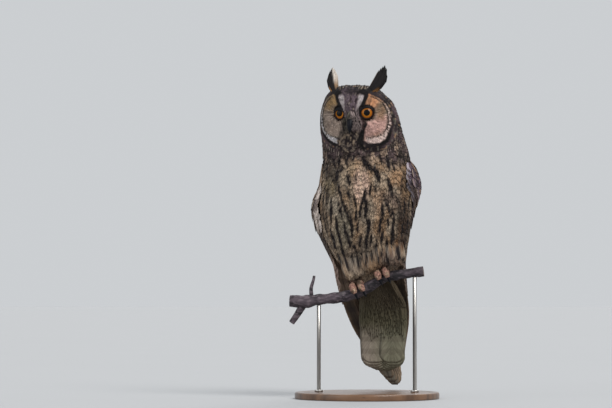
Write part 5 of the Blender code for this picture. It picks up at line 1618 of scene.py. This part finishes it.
# Each tier's count; its roots' and its tips' shares down the wing; how far behind the leading edge its first
# and last vane start at the root, then at the tip; width, lift, lean, whole pitch; how deep and how far down
# roots are sunk.
TIERS = {
    "primaries": (10, (0.27, 0.27), (0.97, 1.0, 0.985, 0.93, 0.85, 0.76), (0.0015, 0.028), (-0.0005, 0.0215),
    0.0165, 0.0044, 0.22, 0.006, (0.002, 0.12)),
    "secondaries": (12, (0.19, 0.17), (0.665, 0.672, 0.67, 0.655, 0.63, 0.595), (0.011, 0.043),
    (0.01, 0.0345), 0.015, 0.0084, 0.16, 0.0055, (0.0036, 0.22)),
    "greater_coverts": (12, (0.1, 0.08), (0.4, 0.415, 0.43, 0.44, 0.445, 0.44), (0.008, 0.05),
    (0.006, 0.044), 0.012, 0.0108, 0.11, 0.0055, (0.0072, 0.24)),
}
VANE_THICK, TIP_ROUND = 0.00035, 0.045
BAKE_SIDE = {"left": 5, "right": 0}  # where each wing lies on the unwrap


def wing_vanes(word, tier, seed):
    """A tier of vanes as thin plates on the bed. From first to last their front edges step back evenly and
    rise by the pitch. Each narrows to a round tip by a circle's rule, sinks to its root, and leans by its
    distance back."""
    count, root, tips, at_root, at_tip, width, lift, lean, pitch, sunk = TIERS[tier]
    rng = np.random.default_rng(seed)
    end = WINGS[word][-1]
    part = np.linspace(0, 1, count)[:, None]
    root = root[0] + part * (root[1] - root[0])
    tip = np.interp(part, np.linspace(0, 1, len(tips)), tips) - rng.uniform(0, 0.006, (count, 1))
    t = down_vane(0.1)
    level = root + t * (tip - root)
    from_tip = np.clip((tip - level) / TIP_ROUND, 0.02, 1.0)
    wide = width * np.sqrt(1 - (1 - from_tip) ** 2) * (0.55 + 0.45 * ramp(t, 0.0, 0.25))
    height = WING_TOP + level * (end - WING_TOP)
    first = at_root[0] + t * (at_tip[0] - at_root[0])
    last = at_root[1] + t * (at_tip[1] - at_root[1])
    midline = bed_run(along(WING_TABLE, height))[..., -1] + along(WINGS[word][1], height)[..., 1]
    room = np.where(height > BACK_END, midline - MIDLINE_CLEAR, 1.0)
    last = np.minimum(last, room - width)
    front = first + part * (last - first) + (width - wide) / 2
    sunken = sunk[0] * ramp(t, sunk[1], 0.0)
    behind = front[..., None] + COLUMNS * wide[..., None]
    raised = lift - sunken[..., None] + (pitch * part)[..., None] - lean * (behind - first[..., None])
    raised = np.maximum(raised, VANE_THICK / 2 + 0.0001)
    high = np.broadcast_to(height[..., None], behind.shape)
    thick = VANE_THICK / 2 * EDGE
    top, out = on_bed(word, high, behind, raised + thick + 0.00022 * SHAFT)
    bottom, _ = on_bed(word, high, behind, raised - thick)
    rings = vane_rings(top, bottom)
    maps = vane_maps(np.broadcast_to(t, level.shape))
    baked = joined(3 + level[..., None], behind * 4)
    baked = np.concatenate([baked[:, :1], baked, baked[:, -1:]], axis=1)
    baked = np.concatenate([baked, baked[:, :, -2:0:-1]], axis=2) + BAKE_SIDE[word]
    return {"rings": rings, "Vane": maps, "OFBake": baked}, count, rng


wing_finish = feather_finish("wing_vanes", (0.03, 0.022, 0.024), (0.5, 0.38, 0.28), 0.35)
WING_TONES = {"primaries": (0.15, 0.112, 0.086), "secondaries": (0.12, 0.088, 0.078),
    "greater_coverts": (0.1, 0.074, 0.072)}
WING_BARS = {"primaries": 11.0, "secondaries": 9.0, "greater_coverts": 4.0}
# Shares down the wing, and how far the coverts stand off its bed there, in mm.
COVER = [(-0.02, -1), (0, 0.8), (0.03, 5), (0.08, 8), (0.12, 9.6), (0.18, 10.6), (0.24, 11.4), (0.36, 11.6)]
COVER = np.array(COVER + [(0.44, 9.5), (0.64, 6.5)]).T * [[1], [MM]]


def edge_rows(word, seed):
    """Marginal coverts: small scales in rows that wrap the wing's front edge, from the body's coat out to its
    reach."""
    rng = np.random.default_rng(seed)
    top, end = WING_TOP, WINGS[word][-1]
    groups = []
    for k, share in enumerate(np.arange(0.0, 0.6, 0.012)):
        count = 5
        first = -0.004 + (np.arange(count) + 0.5 * (k % 2) + rng.uniform(-0.3, 0.3, count)) * 0.0026
        steps = np.linspace(0, 1, 6)
        level = share + steps[None] * 0.048 * rng.uniform(0.85, 1.15, (count, 1))

        def at(behind):
            """The scales' points and outward directions at distances behind the wing's front edge."""
            open_out = 0.12 + 0.88 * np.sqrt(np.clip((behind + 0.004) / 0.01, 0, 1))
            lift = np.interp(level, *COVER) * open_out - 0.0016 * (1 - steps) + 0.0004
            return on_bed(word, top - level * (top - end), behind, lift)

        behind = first[:, None] + 0.0012 * steps
        (trail, out), (beside, _) = at(behind), at(behind + 0.0005)
        across = unit(beside - trail)
        out = unit(out - across * np.sum(out * across, axis=-1, keepdims=True))
        bake = np.column_stack([np.full(count, 9 + share), first * 4]) + BAKE_SIDE[word]
        where = np.column_stack([out[:, 3, 0], behind[:, 3], np.full(count, share)])
        groups.append((fans(trail, out, 0.0062, 4, seed + k, bake), count, where))
    return groups, rng


def covert_rows(word, seed):
    """Small coverts in rows over the shoulder, as fans on the wing's bed just above its arm."""
    rng = np.random.default_rng(seed)
    end = WINGS[word][-1]
    groups = []
    for k, share in enumerate(np.arange(-0.02, 0.245, 0.021)):
        span = np.interp(share, [-0.02, 0.03, 0.08, 0.12, 0.25], [0.034, 0.058, 0.076, 0.08, 0.076])
        first = np.interp(share, [-0.02, 0.03, 0.08, 0.25], [0.011, 0.004, 0.0015, 0.0035])
        tips = WING_TOP + (share + 0.07) * (end - WING_TOP)
        midline = bed_run(along(WING_TABLE, tips))[-1] + along(WINGS[word][1], tips)[1]
        span = min(span, midline - first - 0.004)
        count = max(3, round(span / 0.0052))
        behind = first + (np.arange(count) + 0.5 * (k % 2) + rng.uniform(-0.25, 0.25, count)) / count * span
        steps = np.linspace(0, 1, 6)
        reach = np.interp(share, [0, 0.25], [0.06, 0.08])
        level = share + steps[None] * reach * rng.uniform(0.9, 1.1, (count, 1))
        lift = np.interp(level, *COVER) - 0.0024 * (1 - steps[None]) + 0.0006
        lift = (lift - 0.05 * np.maximum(behind[:, None] - 0.02, 0)) * ramp(behind, 0.078, 0.05)[:, None]
        lift = np.maximum(lift, 0.0006 - 0.0024 * (1 - steps[None]))
        height = WING_TOP + level * (end - WING_TOP)
        spots = np.broadcast_to(behind[:, None], level.shape) - 0.002 * steps
        trail, out = on_bed(word, height, spots, lift)
        bake = np.column_stack([np.full(count, 8 + share), behind * 4]) + BAKE_SIDE[word]
        group = fans(trail, out, 0.0088, 5, seed + k, bake)
        groups.append((group, count))
    return groups, rng


for word in SIDES:
    groups = []
    for k, tier in enumerate(TIERS):
        group, count, rng = wing_vanes(word, tier, 100 + 10 * k)
        tone = np.array(WING_TONES[tier]) * rng.uniform(0.8, 1.2, (count, 1))
        down = group["rings"][..., 2]
        tone = np.broadcast_to(tone[:, None, None], group["rings"].shape)
        # The primaries are painted brighter above 140 mm (upper, for each wing) and darker below 118 mm:
        # partly their own colour, partly painted light above and painted shade below.
        upper = {"left": 0.85, "right": 2.0}[word]
        lit = 0.45 + (upper - 0.45) * ramp(down, 0.118, 0.14) + 0.7 * ramp(down, 0.055, 0.035)
        tone = tone * (lit[..., None] if tier == "primaries" else 1.0)
        tone = mix(tone, (0.15, 0.136, 0.11), ramp(down, 0.06, 0.038))
        ground = mix(tone, BUFF, 0.4 * ramp(np.abs(group["Vane"][..., 0] - 0.5), 0.3, 0.5))
        groups.append(painted(group, count, ground, marks(count, rng, 0.05, WING_BARS[tier])))
    rows, rng = covert_rows(word, 130)
    for group, count in rows:
        points = group["rings"]
        fine = mottle(points, 0.006, 133)
        tone = mix(PLUM * 0.9, GREY, ramp(fine, 0.4, 0.8))
        in_front = ramp(points[..., 1], 0.005, -0.015)
        tone = mix(tone, BUFF, 0.7 * ramp(mottle(points, 0.009, 134), 0.62, 0.8))
        shades = {"left": ((0.036, 0.02, 0.038), (0.205, 0.145, 0.2)),
            "right": ((0.15, 0.115, 0.11), (0.66, 0.59, 0.55))}[word]
        cloudy = ramp(mottle(points * (1, 1, 0.45), 0.0075, 136), 0.42, 0.62)
        tone = mix(tone, mix(*np.array(shades), cloudy), 0.85 * in_front)
        groups.append(painted(group, count, tone, marks(count, rng, 0.2, edge=0.4)))
    rows, rng = edge_rows(word, 160)
    for group, count, where in rows:
        faces_out, behind, share = where.T
        if word == "right":
            tone = np.array([0.88, 0.78, 0.72]) * np.ones((count, 1))
            tone = mix(tone, (0.15, 0.11, 0.1), ramp(behind, 0.003, 0.0065))
            tone = mix(tone, (0.12, 0.085, 0.085),
                0.8 * ramp(share, 0.115, 0.135) * ramp(share, 0.185, 0.165))
            tone = mix(tone, (0.035, 0.028, 0.033), ramp(share, 0.255, 0.285))
            tone = mix(tone, (0.38, 0.275, 0.235), ramp(share, 0.36, 0.42))
        else:
            tone = np.array([0.058, 0.036, 0.058]) * np.ones((count, 1))
            near_top = 1 - 0.8 * ramp(share, 0.1, 0.2)
            tone = mix(tone, (0.4, 0.36, 0.42), near_top * ramp(behind, -0.0022, -0.0034))
            tone = mix(tone, (0.42, 0.25, 0.13), 0.9 * ramp(faces_out, 0.9, 0.98) * ramp(share, 0.22, 0.14))
            tone = mix(tone, (0.11, 0.08, 0.066), 0.85 * ramp(share, 0.2, 0.3))
        mark = marks(count, rng, 0.06, edge=0.3)
        points = group["rings"]
        tone = (tone * rng.uniform(0.7, 1.2, (count, 1))).repeat(4, axis=0)[:, None, None] + 0 * points
        if word == "right":
            tone = mix(tone, body_colour(points), ramp(share[0], 0.095, 0.035))
        groups.append(painted(group, count, tone, mark))
    make_piece(f"wing_{word}_feathers", groups, wing_finish, [f"wing_{word}"])


# TAIL
# Twelve tail feathers, pale grey-buff below with faint bars, in sheets from the outermost pair in front to
# the middle pair behind, and soft undertail coverts over their roots.

# In mm: height, middle across, front face forward, half width.
TAIL = np.array(
    [
        (170, 3, -36, 13), (150, 7.5, -36.5, 20), (130, 13, -38, 26.5), (110, 16, -40, 31.2),
        (85, 15.7, -44, 31.2), (59, 14.7, -47.5, 27.6), (49, 14.9, -48.8, 25.3), (40, 15.2, -50, 21.2),
        (35, 15.4, -50.6, 16), (32, 15.5, -51, 9),
    ]
) * MM
RECTRICES = (  # middle across as a share of the half width, width, tip height, sheets behind: left and right
    (0.42, 0.033, 0.0425, 0, 0.5),
    (0.47, 0.03, 0.039, 1, 1.5),
    (0.44, 0.029, 0.0365, 2, 2.5),
    (0.32, 0.025, 0.0345, 3.5, 4),
    (0.2, 0.024, 0.033, 5, 6),
    (0.07, 0.023, 0.032, 7, 8),
)
TAIL_ROOT, TAIL_PITCH, TAIL_FACE = 0.15, 0.0005, 0.0003
TAIL_ARCH, TAIL_ROUND, TAIL_STRAIGHT = 0.0025, 0.011, 0.059
TAIL_TURN = math.radians(8)  # to the owl's right


def tail_vanes(table, root):
    """Tail feathers as plates: rows down each, points across, from the tail's stations."""
    middle, width, tip, sheet = (np.array(v, float)[:, None] for v in zip(*table))
    spaced = down_vane(0.12)
    height = root + spaced * (tip - root)
    from_tip = np.clip((height - tip) / TAIL_ROUND, 0.02, 1.0)
    wide = width * np.sqrt(1 - (1 - from_tip) ** 2) * (0.5 + 0.5 * ramp(root - height, 0.0, 0.035))
    row = along(TAIL, height)
    half = along(TAIL, np.maximum(height, TAIL_STRAIGHT))[..., 3]
    share = middle[..., None] + (COLUMNS - 0.5) * wide[..., None] / half[..., None]
    depth = (TAIL_FACE + sheet * TAIL_PITCH + VANE_THICK / 2)[..., None]
    faces = []
    for lift in (VANE_THICK / 2 * EDGE + 0.0002 * SHAFT, -VANE_THICK / 2 * EDGE):
        forward = row[..., 2, None] - depth + lift + TAIL_ARCH * share**2
        across = share * half[..., None]
        faces.append(from_middle(row[..., 1, None], 0, TAIL_TURN, across, forward, height[..., None]))
    maps = vane_maps(np.broadcast_to(spaced, height.shape))
    baked = maps * (0.02, 0.12) + joined(middle * 0.05 + sheet * 0.03 + 20, 0)[:, :, None]
    return {"rings": vane_rings(*faces), "Vane": maps, "OFBake": baked}


def tail_colour(points):
    """Dusky olive under the branch, grey-buff toward the tip, and paler and pinker on the owl's right
    half. Its outer edge on the owl's right is painted near-black as painted shade, with a pale stripe in it."""
    across, down = points[..., 0], points[..., 2] + 0.01 * (mottle(points, 0.012, 141) - 0.5)
    pinker = ramp(across + 0.012 * (mottle(points, 0.015, 142) - 0.5), 0.03, 0.002)
    tip = mix((0.175, 0.17, 0.12), (0.265, 0.23, 0.19), pinker)
    tone = mix(tip, (0.105, 0.095, 0.058), ramp(down, 0.065, 0.098))
    tone = mix(tone, (0.06, 0.045, 0.027), ramp(down, 0.092, 0.128))
    # Beyond seen_edge the tail's outer edge on the owl's right is painted near-black as painted shade, with a
    # pale purple-grey stripe painted in it.
    seen_edge = np.interp(points[..., 2], [0.072, 0.095, 0.125], [-0.0105, -0.0098, -0.0092])
    beside = ramp(across - seen_edge, 0.0006, -0.001)
    tone = mix(tone, DARK, 0.9 * beside * ramp(points[..., 2], 0.07, 0.08))
    strip = ramp(np.abs(across - seen_edge + 0.0034), 0.0016, 0.0008)
    strip = strip * ramp(points[..., 2], 0.094, 0.1) * ramp(points[..., 2], 0.12, 0.114)
    return mix(tone, (0.27, 0.25, 0.28), strip)


tail_finish = feather_finish("tail_vanes", (0.06, 0.046, 0.034), (0.42, 0.37, 0.3), 0.3)
table = [(side * middle, width, tip, sheets[side < 0]) for middle, width, tip, *sheets in RECTRICES
    for side in (1, -1)]
rng = np.random.default_rng(140)
group = tail_vanes(table, TAIL_ROOT)
rectrices = painted(group, len(table), tail_colour(group["rings"]), marks(len(table), rng, 0.015, 7.0))

# Undertail coverts: narrow soft fans in close rows over the tail's root, each row over the one below it.
coverts, count = [], 26
for k, root in enumerate(np.arange(0.11, 0.158, 0.004)):
    rng = np.random.default_rng(150 + k)
    share = (np.arange(count) + rng.uniform(-0.5, 0.5, count) - 12.5) / 13.6
    steps = np.linspace(0, 1, 6)
    down = root - steps[None] * rng.uniform(0.024, 0.044, (count, 1))
    row = along(TAIL, down)
    depth = 0.003 * ramp(root, 0.11, 0.155) + 0.0004 * steps[None] - 0.0003
    share = share[:, None] * (0.94 - 0.02 * steps)
    forward = row[..., 2] + depth + TAIL_ARCH * share**2
    trail = from_middle(row[..., 1], 0, TAIL_TURN, share * row[..., 3], forward, down)
    out = unit(joined(share * 0.5 - math.sin(TAIL_TURN), -1, 0.05))
    bake = np.column_stack([24 + share[:, 0] * 0.1, np.full(count, root * 3)])
    group = fans(trail, out, 0.0062, 3, 151 + k, bake, ragged=0.25, ridge=0.00008, droop=0.15)
    mark = marks(count, rng)
    shade = own_shade(group, count, rng, 0.9, 1.08)
    coverts.append(painted(group, count, tail_colour(group["rings"]) * shade, mark))
make_piece("tail_vanes", [rectrices, *coverts], tail_finish, ["tail"])


# STAGE
# A plain pale floor, soft studio light from above and both sides, and the camera of the photo's framing.
def plain(name, size, place, colour):
    """A level square of one faintly clouded colour on the stage: size is half its side, place its height."""
    made, where, shader = new_finish(name, 0.9)
    tone = noise(where, 3.0, 2.0).blend(tuple(c * 0.97 for c in colour), colour)
    wire_up(where, shader, Base_Color=tone)
    mesh = bpy.data.meshes.new(name)
    corners = [(x * size, y * size, place) for x, y in ((-1, -1), (1, -1), (1, 1), (-1, 1))]
    mesh.from_pydata(corners, [], [(0, 1, 2, 3)])
    mesh.materials.append(made)
    floor = bpy.data.objects.new(name, mesh)
    bpy.context.scene.collection.objects.link(floor)
    floor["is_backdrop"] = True


plain("floor", 60.0, -0.0002, (0.3887, 0.3976, 0.4084))
world = bpy.data.worlds.new("studio")
bpy.context.scene.world = world
world.use_nodes = True
world.node_tree.nodes["Background"].inputs["Color"].default_value = (0.6, 0.62, 0.64, 1)
world.node_tree.nodes["Background"].inputs["Strength"].default_value = 1.0


def lamp(name, toward, softness, strength, colour=(1, 1, 1)):
    """A far, broad light, shining along a direction: softness is its size in degrees."""
    light = bpy.data.lights.new(name, "SUN")
    light.angle, light.energy, light.color = math.radians(softness), strength, colour
    made = bpy.data.objects.new(name, light)
    x, y, z = toward
    made.rotation_euler = (math.atan2(math.hypot(x, y), -z), 0, math.atan2(y, x) - math.pi / 2)
    bpy.context.scene.collection.objects.link(made)


lamp("key", (-0.5, 0.75, -0.85), 30, 2.6, (1.0, 0.98, 0.95))
lamp("fill", (0.9, 0.6, -0.35), 50, 0.7, (0.93, 0.96, 1.0))
lamp("back", (-0.2, -0.9, -0.9), 40, 0.9)

CAMERA_AT, AIM_HEIGHT = (-0.076, -3.0, 0.12), 0.2425
camera = bpy.data.cameras.new("camera")
camera.lens, camera.sensor_width = 141.3, 36.0
eye = bpy.data.objects.new("camera", camera)
eye.location = CAMERA_AT
eye.rotation_euler = (math.pi / 2 + math.atan2(AIM_HEIGHT - CAMERA_AT[2], -CAMERA_AT[1]), 0, 0)
bpy.context.scene.collection.objects.link(eye)
bpy.context.scene.camera = eye
bpy.context.scene.view_settings.view_transform = "Standard"

low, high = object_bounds()
